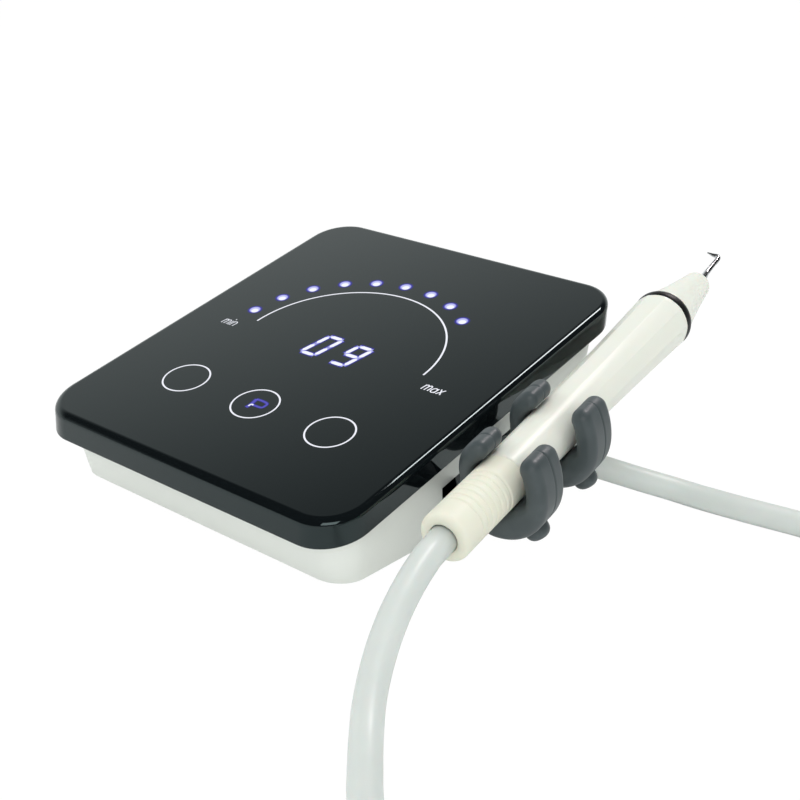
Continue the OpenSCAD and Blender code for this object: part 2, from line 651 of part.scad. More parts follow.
// Half sizes of a hook's arm where the tip has rounded by an angle
function arm_section(round_off) =
  let (ht = hook_t / 2 * cos(round_off), hw = hook_w / 2 - hook_t / 2 * (1 - cos(round_off)),
       r = min(hook_edge, ht * 0.95), groove = mould_groove * cos(round_off), line = -hook_w * 0.12)
  concat(
    [[ht, line - groove], [ht - groove, line], [ht, line + groove]],
    [for (a = [0:22.5:90]) [ht - r + r * cos(a), hw - r + r * sin(a)]],
    [for (a = [90:22.5:180]) [-ht + r + r * cos(a), hw - r + r * sin(a)]],
    [[-ht, line + groove], [-ht + groove, line], [-ht, line - groove]],
    [for (a = [180:22.5:270]) [-ht + r + r * cos(a), -hw + r + r * sin(a)]],
    [for (a = [270:22.5:360]) [ht - r + r * cos(a), -hw + r + r * sin(a)]]);

// The soft cradle hangs a little low and to the outer side of the handpiece it holds
hook_out = 0.9;
hook_down = 0.7;
hook_turn = 4;

// Radius of a cradle's middle line
function cradle_r(along) = barrel_r(along + hook_w / 2) + hook_gap + norm([hook_out, hook_down]) + hook_t / 2;

// Place of a cradle on the handpiece's axis
module on_cradle(along) on_axis(along) translate([hook_out, hook_down, 0]) rotate([0, 0, hook_turn]) children();

// Centre line of a clip: outer arm, half ring and inner arm, as [x, y, heading]; -y is up
function clip_line(ring) =
  let (lean = asin(hook_arm / hook_lean_r), c = ring - hook_lean_r,
       curl = asin(hook_arm / hook_curl_r), k = ring - hook_curl_r)
  concat(
    [for (b = ramp(lean, 0, 5)) [c + hook_lean_r * cos(b), -hook_lean_r * sin(b), -b]],
    [for (a = ramp(9, 171, 18)) [ring * cos(a), ring * sin(a), a]],
    [for (b = ramp(0, curl, 5)) [-k - hook_curl_r * cos(b), -hook_curl_r * sin(b), 180 + b]]);

// One ring of points at a place on the line, moved on past its end where the tip rounds off
function clip_ring(p, round_off, side) =
  let (on = hook_t / 2 * sin(round_off) * side)
  [for (q = arm_section(round_off))
    [p[0] + q[0] * cos(p[2]) - on * sin(p[2]), p[1] + q[0] * sin(p[2]) + on * cos(p[2]), -q[1]]];

// Soft clip round the handpiece: half ring below, two arms that lean in, rounded tips
module clip(along) on_cradle(along) {
  ring = cradle_r(along);
  line = clip_line(ring);
  last = len(line) - 1;
  rings = concat(
    [for (a = [80, 60, 40, 20]) clip_ring(line[0], a, -1)],
    [for (p = line) clip_ring(p, 0, 1)],
    [for (a = [20, 40, 60, 80]) clip_ring(line[last], a, 1)]);
  loft(rings);
  // rounded pull tab under the outer side
  rotate([0, 0, 52]) translate([ring + hook_t / 2 - 1.4, 0, 1.5]) rotate([0, 90, 0]) rotate_extrude($fn = 24)
    polygon(concat([[0, 0], [tab_r, 0]], [for (a = ramp(0, 90, 5)) [tab_r - 1.6 + 1.6 * cos(a), 3.4 + 1.4 * sin(a)]], [[0, 4.8]]));
}

tab_r = 3.5;

// Neck from the plate in the wall to a clip's lower inner side
module neck(along, y) {
  ring = cradle_r(along);
  hull() {
    on_side(recess_from, recess_z) translate([2.2, y, 1.4]) cube([1, 7, recess_h - 2.8]);
    on_cradle(along) rotate([0, 0, 136]) translate([ring - 1.5, -4, -3.5]) cube([2.5, 8, 8.5]);
  }
}

module front_hook() color(slate) {
  clip(hook_a);
  neck(hook_a, 0.8);
}

module rear_hook() color(slate) {
  clip(hook_b);
  neck(hook_b, 22);
}

module hook_plate() color("#33393b") on_side(recess_from, recess_z) difference() {
  translate([0.1, 0.3, 0.3]) cube([2, recess_to - recess_from - 0.6, recess_h - 0.6]);
  for (y = plate_screws) translate([3, y, recess_h / 2]) rotate([0, -90, 0]) cylinder(r = 1.6, h = 4);
}

module hook_screws() color(steel)
  for (y = plate_screws) on_side(recess_from, recess_z) translate([3.5, y, recess_h / 2]) rotate([0, -90, 0])
    screw(2.4, 1.3, 1.3, 4.6);

grommet_out = 8;
// Start of the grommet's outer lip, clear of the wall as it leans out
lip_out = (tub_half_top - tub_half_low) / 2 + 0.6;

module hose_grommet() color("#aeb6b4") translate([tub_half_low, grommet_y, grommet_z]) rotate([0, 90, 0])
  difference() {
    rotate_extrude() polygon([
      [0, -5], [hose_d / 2 + 1.8, -5], [hose_d / 2 + 1.8, -3.2], [hose_d / 2 + 1, -3.2], [hose_d / 2 + 1, lip_out],
      [hose_d / 2 + 2.2, lip_out], [hose_d / 2 + 2.2, lip_out + 1.4], [hose_d / 2 + 0.9, grommet_out], [0, grommet_out]]);
    translate([0, 0, -6]) cylinder(r = hose_d / 2, h = 20);
  }

// Ring of points round the hose at p, square to t
function ring_of(p, t, r, sides) =
  let (u = t / norm(t), side = cross(u, [0, 0, 1]), s = norm(side) > 0.001 ? side / norm(side) : [1, 0, 0], n = cross(u, s))
  [for (k = [0:sides - 1]) p + r * (cos(360 * k / sides) * s + sin(360 * k / sides) * n)];

function tangent(w, k) = w[min(k + 1, len(w) - 1)] - w[max(k - 1, 0)];

function middle(ring) = [for (c = [0:2]) let (all = [for (p = ring) p[c]]) (min(all) + max(all)) / 2];

// Closed skin over equal rings of points, each end closed from its middle
module loft(rings) {
  n = len(rings);
  m = len(rings[0]);
  skin = [for (k = [0:n - 2], i = [0:m - 1]) let (j = (i + 1) % m)
    each [[k * m + i, (k + 1) * m + i, (k + 1) * m + j], [k * m + i, (k + 1) * m + j, k * m + j]]];
  cap_a = [for (i = [0:m - 1]) [n * m, i, (i + 1) % m]];
  cap_b = [for (i = [0:m - 1]) [n * m + 1, (n - 1) * m + (i + 1) % m, (n - 1) * m + i]];
  polyhedron(points = concat([for (ring = rings) for (p = ring) p], [middle(rings[0]), middle(rings[n - 1])]),
    faces = concat(skin, cap_a, cap_b));
}

// Tube with end caps along the points of w
module tube(w, r, sides, first, last) {
  n = len(w);
  loft([for (k = [0:n - 1]) ring_of(w[k], k == 0 ? first : k == n - 1 ? last : tangent(w, k), r, sides)]);
}

// Smooth curve through the chosen points, cut into short steps
function smooth(w, cuts) = [
  for (k = [0:len(w) - 2], c = [0:cuts - 1])
    let (a = w[max(k - 1, 0)], b = w[k], d = w[k + 1], e = w[min(k + 2, len(w) - 1)], s = c / cuts)
    0.5 * (2 * b + (d - a) * s + (2 * a - 5 * b + 4 * d - e) * s * s + (3 * b - a - 3 * d + e) * s * s * s)
  , w[len(w) - 1]];

axis_dir = [-sin(aim_in) * cos(aim_up), cos(aim_in) * cos(aim_up), sin(aim_up)];

// Coil of two layers: it winds in, climbs while it turns back, and winds out
coil_total = coil_turns * 2 + 0.5;
coil_mid = coil_total / 2;
function coil_radius(t) = coil_r - coil_pitch * (coil_mid - abs(t - coil_mid));
function step_up(s) = let (c = min(max(s, 0), 1)) c * c * (3 - 2 * c);
function coil_point(t) = [
  coil_at[0] + coil_radius(t) * sin(360 * t),
  coil_at[1] - coil_radius(t) * cos(360 * t),
  hose_d / 2 + coil_pitch * step_up((t - coil_mid + 0.25) / 0.5)];
coil_steps = 24;
coil_way = [for (k = [0:coil_total * coil_steps]) coil_point(k / coil_steps)];

function way_length(w) = len(w) < 2 ? 0 : [for (k = 0, s = 0; k < len(w); s = s + (k < len(w) - 1 ? norm(w[k + 1] - w[k]) : 0), k = k + 1) s][len(w) - 1];

// Least gap between turns of the coil that are not neighbours along it
coil_gap = min([for (i = [0:2:len(coil_way) - 1], j = [i + coil_steps / 2:1:len(coil_way) - 1]) norm(coil_way[i] - coil_way[j])]) - hose_d;

module hose_front() color(hose_grey)
  tube(concat([tail_at - 0.3 * axis_dir], smooth(concat(hose_front_way, [[245, -30.2, 3.8]]), 2)), hose_d / 2, 10, -axis_dir, [1, 0, 0]);

module hose_coil() color(hose_grey)
  tube(coil_way, hose_d / 2, 6, [1, 0, 0], [-1, 0, 0]);

module hose_back() color(hose_grey)
  tube(smooth(concat([[245, 70.2, 12]], hose_back_way, [[tub_half_low + grommet_out, grommet_y, grommet_z]]), 2), hose_d / 2, 10, [-1, 0, 0], [-1, 0, 0]);

echo(coil_gap = coil_gap, coil_length = way_length(coil_way),
  front_length = way_length(smooth(hose_front_way, 4)), back_length = way_length(smooth(hose_back_way, 4)));

place() top_panel();
place() tub();
place() rubber_feet();
place() case_screws();
place() display_board();
place() display_module();
place() arc_lights();
place() touch_pads();
place() board_screws();
place() board_ribbon();
place() main_board();
place() transformer();
place() capacitors();
place() heat_sink();
place() power_transistors();
place() water_valve();
place() valve_coil();
place() valve_bracket();
place() inlet_tube();
place() outlet_tube();
place() rear_plate();
place() power_socket();
place() pedal_socket();
place() water_inlet();
place() needle_valve();
place() water_knob();
place() rocker_frame();
place() rocker();
place() rocker_pin();
place() hook_plate();
place() hook_screws();
place() front_hook();
place() rear_hook();
place() hose_grommet();
place() tail_sleeve();
place() handpiece_shell();
place() front_lip();
place() o_ring();
place() nose_cone();
place() tail_connector();
place() back_mass();
place() piezo_rings();
place() horn();
place() scaler_tip();
place() hose_front();
place() hose_coil();
place() hose_back();
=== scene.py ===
# %% [markdown]
# # An ultrasonic dental scaler on a white table
#
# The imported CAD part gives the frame: every solid, where it sits and what moves.
# This notebook puts smooth skins over the pieces that the picture shows, finishes
# every other piece with a procedural material, and lights it like a catalogue photo.
#
# All sizes below are in millimetres in the *unit frame* of the CAD source, where the
# middle touch key is at x = 0, y = 0 and the table is z = 0. `row` turns them into
# the frame's metres.

import json
import math

import bpy
import numpy as np
from mathutils import Matrix, Vector


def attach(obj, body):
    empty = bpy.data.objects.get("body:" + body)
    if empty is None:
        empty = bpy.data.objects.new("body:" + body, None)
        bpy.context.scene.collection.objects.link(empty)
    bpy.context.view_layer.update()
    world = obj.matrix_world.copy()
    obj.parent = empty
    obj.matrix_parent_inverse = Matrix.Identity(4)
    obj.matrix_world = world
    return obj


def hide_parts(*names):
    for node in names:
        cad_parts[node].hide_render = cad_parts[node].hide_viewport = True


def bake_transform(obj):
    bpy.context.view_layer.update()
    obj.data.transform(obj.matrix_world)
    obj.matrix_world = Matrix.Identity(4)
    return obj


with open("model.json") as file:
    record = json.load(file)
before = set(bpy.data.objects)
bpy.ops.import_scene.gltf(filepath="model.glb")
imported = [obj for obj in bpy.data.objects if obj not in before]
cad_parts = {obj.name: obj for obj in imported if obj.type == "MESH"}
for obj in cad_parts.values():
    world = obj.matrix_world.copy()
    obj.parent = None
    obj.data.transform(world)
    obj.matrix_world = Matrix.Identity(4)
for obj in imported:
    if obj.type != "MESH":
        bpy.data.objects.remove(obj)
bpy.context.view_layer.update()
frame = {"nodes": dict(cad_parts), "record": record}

# The row frame's origin, in unit-frame millimetres.
SHIFT = np.array([16.9, 62.6, 0.0])


def row(points):
    """Unit-frame millimetres as metres in the row frame."""
    return (np.asarray(points, float) - SHIFT) * 0.001


# %% [markdown]
# ## Camera
#
# The place and turn of the camera come from fitting the panel's corners, its rings and
# its light arc to the photo. The lens is 58.85 mm on a 36 mm sensor.

# %% Camera
scene = bpy.context.scene
camera_data = bpy.data.cameras.new("camera")
camera_data.lens, camera_data.sensor_width = 58.85, 36.0
camera_data.clip_start, camera_data.clip_end = 0.01, 50.0
camera = bpy.data.objects.new("camera", camera_data)
scene.collection.objects.link(camera)
scene.camera = camera
right, up, look = (
    (0.774247, 0.631236, 0.04565),
    (-0.267113, 0.260534, 0.927778),
    (-0.573753, 0.730523, -0.370329),
)
stand = (0.232105, -0.31202, 0.175379)
turn = Matrix([[right[i], up[i], -look[i]] for i in range(3)])
camera.matrix_world = Matrix.Translation(stand) @ turn.to_4x4()
scene.render.resolution_x = scene.render.resolution_y = 800
print("camera at", tuple(round(v, 3) for v in camera.location))

# %% [markdown]
# ## Shader maths
#
# `Value` wraps a socket so that shader maths reads as arithmetic. Every other node goes
# through `Shader.node`.


# %% Shader helpers
class Value:
    """A float socket that adds and multiplies like a number."""

    def __init__(self, shader, socket):
        self.shader, self.socket = shader, socket

    def _op(self, kind, other):
        node = self.shader.tree.nodes.new("ShaderNodeMath")
        node.operation = kind
        for slot, value in zip(node.inputs, (self, other)):
            self.shader.feed(slot, value)
        return Value(self.shader, node.outputs[0])

    def __add__(self, other):
        return self._op("ADD", other)

    def __mul__(self, other):
        return self._op("MULTIPLY", other)

    def step(self, low, high):
        """0 below low, 1 above high, with a soft S between them."""
        node = self.shader.tree.nodes.new("ShaderNodeMapRange")
        node.interpolation_type = "SMOOTHSTEP"
        for slot, value in zip(node.inputs, (self, low, high, 0.0, 1.0)):
            self.shader.feed(slot, value)
        return Value(self.shader, node.outputs[0])


class Shader:
    """One material: its node tree, its Principled shader and small helpers."""

    def __init__(self, name, **constants):
        self.material = bpy.data.materials.new(name)
        self.material.use_nodes = True
        self.tree = self.material.node_tree
        self.surface = next(n for n in self.tree.nodes if n.type == "BSDF_PRINCIPLED")
        self.set(**constants)

    def set(self, **values):
        """Feeds sockets of the Principled shader, their names with _ for a space."""
        for name, value in values.items():
            self.feed(self.surface.inputs[name.replace("_", " ")], value)
        return self

    def feed(self, slot, value):
        """Links a socket to a value's socket, or sets it to a constant."""
        if isinstance(value, Value):
            self.tree.links.new(value.socket, slot)
        elif isinstance(value, bpy.types.NodeSocket):
            self.tree.links.new(value, slot)
        elif slot.type == "RGBA" and len(value) == 3:
            slot.default_value = (*value, 1.0)
        else:
            slot.default_value = value

    def node(self, kind, inputs=None, **settings):
        """A node of some kind, its settings given by name and its inputs fed."""
        made = self.tree.nodes.new("ShaderNode" + kind)
        for name, value in settings.items():
            setattr(made, name, value)
        for name, value in (inputs or {}).items():
            self.feed(made.inputs[name], value)
        return made

    def noise(self, scale, detail=2.0):
        """Noise of the place on the object, scale features to the metre."""
        spot = self.node("TexCoord").outputs["Object"]
        made = self.node("TexNoise", {"Vector": spot, "Scale": scale, "Detail": detail})
        return Value(self, made.outputs[0])

    def level(self):
        """The mesh attribute `level`, from 0 to 1."""
        return Value(self, self.node("Attribute", attribute_name="level").outputs["Fac"])

    def mix(self, factor, first, second):
        """A colour that goes from first to second."""
        made = self.node("Mix", data_type="RGBA")
        sockets = [made.inputs[i] for i in (0, 6, 7)]
        for slot, value in zip(sockets, (factor, first, second)):
            self.feed(slot, value)
        return made.outputs[2]

    def bump(self, height, distance, strength):
        """Bends the normal as if the surface rose by height times distance, in metres."""
        inputs = {"Height": height, "Distance": distance, "Strength": strength}
        self.set(Normal=self.node("Bump", inputs).outputs["Normal"])
        return self


def srgb(code):
    """A hex colour as linear light."""
    parts = [int(code[i : i + 2], 16) / 255 for i in (1, 3, 5)]
    return tuple(p / 12.92 if p < 0.04045 else ((p + 0.055) / 1.055) ** 2.4 for p in parts)


# %% [markdown]
# ## Materials
#
# The plastics are near-smooth with a fine uneven sheen, the hooks are satin silicone
# with a faint bloom, and the hose is matter with a soft shine. The handpiece's plastics
# let a little light in under their surface.

# %% Visible finishes
FINE_GRAIN = 0.00002
MILKY_DEPTH = 0.002

panel_look = Shader("panel_black", Base_Color=srgb("#0b0f11"), Roughness=0.05, IOR=1.5)
panel_look.set(Specular_Tint=(0.78, 1.0, 1.0))

tub_look = Shader("shell_white", IOR=1.46)
grain = tub_look.noise(240.0)
tub_look.set(Base_Color=srgb("#e4e7e1"), Roughness=grain * 0.08 + 0.3)
tub_look.bump(tub_look.noise(2600.0, 1.0), FINE_GRAIN, 0.25)

hook_look = Shader("hook_rubber", IOR=1.45)
bloom = hook_look.noise(160.0).step(0.35, 0.75)
hook_look.set(
    Base_Color=hook_look.mix(bloom, srgb("#3f4749"), srgb("#485052")),
    Roughness=bloom * 0.08 + 0.4,
)
hook_look.bump(hook_look.noise(1500.0), 0.00003, 0.3)


def milky(name, colour, rough, ior, weight):
    """A plastic that lets some weight of light in under its surface."""
    made = Shader(name, Base_Color=srgb(colour), Roughness=rough, IOR=ior)
    made.set(Subsurface_Weight=weight, Subsurface_Scale=MILKY_DEPTH)
    return made.set(Specular_IOR_Level=0.3)


ivory_look = milky("ivory", "#dfe0d6", 0.3, 1.5, 0.12)
sleeve_look = milky("ivory_soft", "#dfdece", 0.5, 1.48, 0.15)
lip_look = milky("lip_white", "#dfe0d6", 0.3, 1.5, 0.12)

o_ring_look = Shader("ring_rubber", Base_Color=srgb("#0d0e0f"), Roughness=0.45)
tip_look = Shader("tip_steel", Base_Color=srgb("#c4c6c8"), Metallic=1.0, Roughness=0.14)

hose_look = Shader("hose", IOR=1.45)
cloud = hose_look.noise(60.0).step(0.3, 0.7)
hose_look.set(
    Base_Color=hose_look.mix(cloud, srgb("#c8ceca"), srgb("#cdd2ce")),
    Roughness=0.38,
    Subsurface_Weight=0.1,
    Subsurface_Scale=MILKY_DEPTH,
)


# %% [markdown]
# Marks on the panel are light: white strokes for the arc, the rings, the words and the
# digits, and a soft violet glow. How strong each point shows rides in the attribute
# `level`.

# %% Lights on the panel
mark_look = Shader("mark_light", Base_Color=(0.0, 0.0, 0.0), Roughness=0.5)
mark_look.set(Emission_Color=srgb("#f4f6ff"), Emission_Strength=1.0, Alpha=mark_look.level())

glow_look = Shader("mark_glow", Base_Color=(0.0, 0.0, 0.0), Roughness=1.0)
level = glow_look.level()
glow_look.set(
    Emission_Color=glow_look.mix(level.step(0.35, 0.95), srgb("#4a3fe0"), srgb("#c9ccff")),
    Emission_Strength=1.0,
    Alpha=level.step(0.0, 0.8) * 0.9,
)


# %% [markdown]
# The pieces that keep their CAD solid need a finish only: a colour, a roughness, and for
# metals the metallic share and a finer grain.


# %% Finishes of the other pieces
def plain(name, colour, rough, metal=0.0, grain_scale=300.0):
    """A finish with a fine grain in its roughness, 0.05 either way, and its surface."""
    made = Shader(name, Base_Color=srgb(colour), Metallic=metal)
    uneven = made.noise(grain_scale)
    made.set(Roughness=uneven * 0.1 + (rough - 0.05))
    return made.bump(uneven, FINE_GRAIN, 0.3)


FINISHES = {
    "foot_rubber": ("#232628", 0.75),
    "steel": ("#b9bdc0", 0.32, 1.0, 900.0),
    "board": ("#1f6b45", 0.45),
    "inner_black": ("#26282a", 0.55),
    "light": ("#dfe6ff", 0.2),
    "ribbon": ("#c9ccd0", 0.4),
    "iron": ("#4a3f38", 0.6),
    "can": ("#27405c", 0.4),
    "sink": ("#8d9296", 0.35, 1.0),
    "valve_plastic": ("#d9d3c0", 0.45),
    "tube_clear": ("#dfe7ea", 0.25),
    "brass": ("#c9a44c", 0.25, 1.0, 700.0),
    "knob_grey": ("#3c4144", 0.45),
    "plate_dark": ("#2c3234", 0.5),
    "grommet_rubber": ("#aeb6b4", 0.55),
    "ceramic": ("#d8c9a0", 0.5),
    "horn_metal": ("#9fa6aa", 0.3, 1.0, 700.0),
}
OTHER = {name: plain(name, *values) for name, values in FINISHES.items()}
VISIBLE = {
    "panel_black": panel_look,
    "shell_white": tub_look,
    "hook_rubber": hook_look,
    "ivory": ivory_look,
    "ivory_soft": sleeve_look,
    "lip_white": lip_look,
    "ring_rubber": o_ring_look,
    "tip_steel": tip_look,
    "hose": hose_look,
}
print(len(OTHER) + len(VISIBLE), "finishes")

# %% [markdown]
# ## Skins from rings
#
# Every skin is a stack of rings of equal length, joined ring to ring. `skin` makes one
# object at the origin, gives it its finish and lets it ride on its CAD body. A part may
# be open, for ribbons, and may have its two ends closed by caps.


# %% Mesh helpers
def skin(name, parts, look, body="base", replaces=(), levels=None):
    """One object from (rings, closed, caps) parts; rings is rings x points x 3 in mm."""
    points, faces, start, values = [], [], 0, []
    for index, (rings, closed, caps) in enumerate(parts):
        rings = np.asarray(rings, float)
        n, m = rings.shape[:2]
        points.append(rings.reshape(-1, 3))
        ids = np.arange(n * m).reshape(n, m) + start
        nxt = np.roll(ids, -1, axis=1)
        last = m if closed else m - 1
        quads = np.stack([ids[:-1], nxt[:-1], nxt[1:], ids[1:]], -1)[:, :last]
        faces += [tuple(q) for q in quads.reshape(-1, 4).tolist()]
        if caps:
            faces += [tuple(ids[0, ::-1].tolist()), tuple(ids[-1].tolist())]
        if levels is not None:
            values.append(np.asarray(levels[index], float).reshape(-1))
        start += n * m
    mesh = bpy.data.meshes.new(name)
    mesh.from_pydata(row(np.concatenate(points)).tolist(), [], faces)
    mesh.polygons.foreach_set("use_smooth", [True] * len(mesh.polygons))
    if levels is not None:
        mesh.attributes.new("level", "FLOAT", "POINT").data.foreach_set(
            "value", np.concatenate(values).astype(np.float32)
        )
    mesh.validate()
    mesh.update()
    made = bpy.data.objects.new(name, mesh)
    scene.collection.objects.link(made)
    mesh.materials.append(look.material)
    if body:
        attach(made, body)
    if replaces:
        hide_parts(*replaces)
    print(name, len(mesh.vertices), "points", len(faces), "faces")
    return made


# %% [markdown]
# ## Hose
#
# The hose leaves the handpiece, runs along the table and out of the picture, lies in a
# two-layer coil there, and comes back to the tub's right wall behind the hooks. The
# points are the CAD source's own, so the cord's length is the same. Its first bend is
# the only part above 16.5 mm; the hose stays where it is when the handpiece slides.


# %% Hose
def smooth(way, cuts):
    """Catmull-Rom curve through the way's points, each step cut into equal shares."""
    way = np.asarray(way, float)
    before = np.vstack([way[:1], way[:-1]])[:-1]
    a, b, d = before, way[:-1], way[1:]
    e = np.vstack([way[2:], way[-1:]])
    out = []
    for s in np.arange(cuts) / cuts:
        curve = 2 * b + (d - a) * s + (2 * a - 5 * b + 4 * d - e) * s**2
        out.append(0.5 * (curve + (3 * b - a - 3 * d + e) * s**3))
    return np.vstack([np.stack(out, 1).reshape(-1, way.shape[1]), way[-1:]])


def tube(way, radius, sides):
    """Rings of a tube: at each point a circle square to the line, kept from twisting."""
    way = np.asarray(way, float)
    t = np.gradient(way, axis=0)
    t /= np.linalg.norm(t, axis=1)[:, None]
    side = np.cross(t, [0.0, 0.0, 1.0])
    side /= np.linalg.norm(side, axis=1)[:, None]
    top = np.cross(side, t)
    a = np.linspace(0, 2 * np.pi, sides, endpoint=False)
    radius = np.broadcast_to(radius, len(way))[:, None, None]
    ring = np.cos(a)[None, :, None] * side[:, None] + np.sin(a)[None, :, None] * top[:, None]
    return way[:, None] + radius * ring


# The handpiece's axis starts at the tail, rises by aim_up and turns in by aim_in.
aim_up, aim_in = math.radians(9.9), math.radians(6.34)
TAIL = np.array([82.9, -18.2, 26.0])
flat_share = math.cos(aim_up)
AXIS = np.array([-math.sin(aim_in) * flat_share, math.cos(aim_in) * flat_share, math.sin(aim_up)])
OUT = np.array([math.cos(aim_in), math.sin(aim_in), 0.0])
DOWN = np.cross(AXIS, OUT)

HOSE_D = 7.6
front_way = [
    [84.1, -25.6, 24.7], [86, -33.6, 22.4], [88.6, -43, 18.4], [92, -52, 13.4],
    [96.8, -61, 8.4], [102, -68.2, 5.2], [108.4, -76, 3.9], [115, -83.6, 3.8],
    [123.5, -91.5, 3.8], [134, -97.5, 3.8], [146, -99.5, 3.8], [159, -97, 3.8],
    [171, -90, 3.8], [182, -79.5, 3.8], [192, -67, 3.8], [202, -54, 3.8],
    [213, -42.5, 3.8], [226, -34, 3.8], [237.4, -30.2, 3.8],
]
back_way = [
    [237.4, 70.2, 12], [227, 71.5, 11], [214, 76, 8.2], [201, 82.5, 5.4],
    [188, 89, 4], [174, 94.6, 3.8], [159, 98, 3.8], [144, 98.9, 3.8],
    [129, 97.6, 3.8], [114, 95.1, 3.8], [99, 93.1, 3.8], [90, 91.3, 4.4],
    [82, 87.4, 5.9], [74.5, 82.8, 7.9], [68, 79.6, 9.3],
]
# The coil winds in on the table, climbs half way by one pitch and winds out on top.
COIL_X, COIL_Y, COIL_R, COIL_PITCH, COIL_TURNS = 245, 20, 50.2, 8.2, 6.5
turns = np.linspace(0, COIL_TURNS, 313)
coil_radius = COIL_R - COIL_PITCH * (COIL_TURNS / 2 - np.abs(turns - COIL_TURNS / 2))
climb = np.clip((turns - COIL_TURNS / 2 + 0.25) / 0.5, 0, 1)
coil = np.stack(
    [
        COIL_X + coil_radius * np.sin(2 * np.pi * turns),
        COIL_Y - coil_radius * np.cos(2 * np.pi * turns),
        HOSE_D / 2 + COIL_PITCH * climb**2 * (3 - 2 * climb),
    ],
    1,
)
in_wall = [60.2, 78.5, 9.6]
way = np.vstack(
    [
        TAIL + 2.0 * AXIS,
        smooth(front_way + [[COIL_X, COIL_Y - COIL_R, 3.8]], 6)[:-1],
        coil,
        smooth([[COIL_X, COIL_Y + COIL_R, 12]] + back_way + [in_wall], 6)[1:],
    ]
)
hose = skin(
    "hose_skin",
    [(tube(way, HOSE_D / 2, 24), True, True)],
    hose_look,
    body=None,
    replaces=("hose_front", "hose_coil", "hose_back"),
)
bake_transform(hose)

# %% [markdown]
# ## Panel
#
# The panel is a rounded oblong with upright walls whose top and underside both slope
# towards the user. Each ring is the same oblong drawn in by some inset, at some height
# off the sloping plane.

# %% Panel
SLOPE = math.radians(14.5)
KEY_Z = 32.5
HALF, FRONT, BACK, CORNER = 60, 32, 102, 13


def oblong(half, front, back, corner, steps=16):
    """Rounded oblong seen from above: four quarter circles joined by straight sides."""
    out = []
    for cx, cy, first in (
        (half - corner, back - corner, 0),
        (-half + corner, back - corner, 90),
        (-half + corner, -front + corner, 180),
        (half - corner, -front + corner, 270),
    ):
        a = np.radians(np.linspace(first, first + 90, steps))
        out.append(np.stack([cx + corner * np.cos(a), cy + corner * np.sin(a)], 1))
    return np.concatenate(out)


def sloping_ring(inset, height):
    """The panel's outline drawn in by inset, height above the sloping top plane."""
    xy = oblong(*(size - inset for size in (HALF, FRONT, BACK, CORNER)))
    z = KEY_Z + xy[:, 1] * math.tan(SLOPE) + height
    return np.column_stack([xy, z])


BAND, FILLET, LIP = 8.2, 2.0, 0.5
quarter = np.radians(np.linspace(0, 90, 9))
profile = [(2.2, -2.2), (2.2, -BAND), (LIP + 0.15, -BAND)]
profile += [(LIP - LIP * math.sin(a), -BAND + LIP - LIP * math.cos(a)) for a in quarter]
profile += [(0.0, -BAND + 0.8), (0.0, -FILLET - 0.3)]
profile += [(FILLET * (1 - math.cos(a)), -FILLET * (1 - math.sin(a))) for a in quarter]
profile += [(FILLET + 0.2, 0.0), (FILLET + 2.0, 0.0)]
skin(
    "panel_skin",
    [([sloping_ring(*p) for p in profile], True, True)],
    panel_look,
    replaces=("top_panel",),
)

# %% [markdown]
# ## Corners of the tub
#
# The tub keeps its CAD solid. Its four upright corners get a smooth skin a few hundredths
# of a millimetre proud of the wall, which fades into the flat sides.

# %% Tub corners
LOW = {"half": 54.2, "front": 21.9, "back": 93.0, "r": 8.7}
TOP = {"half": 58.0, "front": 25.7, "back": 95.0, "r": 10.7}
FOOT_Z, UNDER_BAND = 1.8, 0.35
SUNK, RISE, IN_WALL = -0.05, 0.11, -0.9


def corner_arc(size, side, rear, angles, offset):
    """Points of one corner's arc in plan, offset off the wall."""
    cx = side * (size["half"] - size["r"])
    cy = size["back"] - size["r"] if rear else -(size["front"] - size["r"])
    r = size["r"] + offset
    away = 1 if rear else -1
    return np.stack([cx + side * r * np.cos(angles), cy + away * r * np.sin(angles)], 1)


def corner_skin(side, rear):
    """Rings from the foot to the panel: the outer arc one way, an arc in the wall back."""
    angles = np.radians(np.linspace(1, 89, 31))
    hump_across = np.clip(np.minimum(angles, np.pi / 2 - angles) / 0.25, 0, 1)
    rings = []
    for s in np.linspace(0.01, 0.995, 25):
        proud = SUNK + RISE * hump_across * min(1.0, s / 0.08)
        both = []
        for line, offset in ((angles, proud), (angles[::-1], IN_WALL)):
            low = corner_arc(LOW, side, rear, line, offset)
            top = corner_arc(TOP, side, rear, line, offset)
            top_z = KEY_Z - BAND - UNDER_BAND + top[:, 1] * math.tan(SLOPE)
            xy = low + (top - low) * s
            both.append(np.column_stack([xy, FOOT_Z + (top_z - FOOT_Z) * s]))
        ring = np.concatenate(both)
        rings.append(ring if (side > 0) != rear else ring[::-1])
    return rings[::-1]


corners = [(side, rear) for side in (-1, 1) for rear in (False, True)]
corner_parts = [(corner_skin(side, rear), True, True) for side, rear in corners]
skin("tub_corner_skin", corner_parts, tub_look)

# %% [markdown]
# ## Marks on the panel
#
# Strokes are flat ribbons just above the panel, drawn in the panel's own plane: x to
# the right and y up the slope. The glow is a second set of ribbons and discs whose
# level falls from the middle to the edge. Strokes lie a little higher than the glow.


# %% Marks
def on_slope(xy, lift):
    """Points of the panel's plane, lifted off it, in the unit frame."""
    xy = np.asarray(xy, float)
    x, y = xy[..., 0], xy[..., 1]
    c, s = math.cos(SLOPE), math.sin(SLOPE)
    return np.stack([x, y * c - lift * s, KEY_Z + y * s + lift * c], -1)


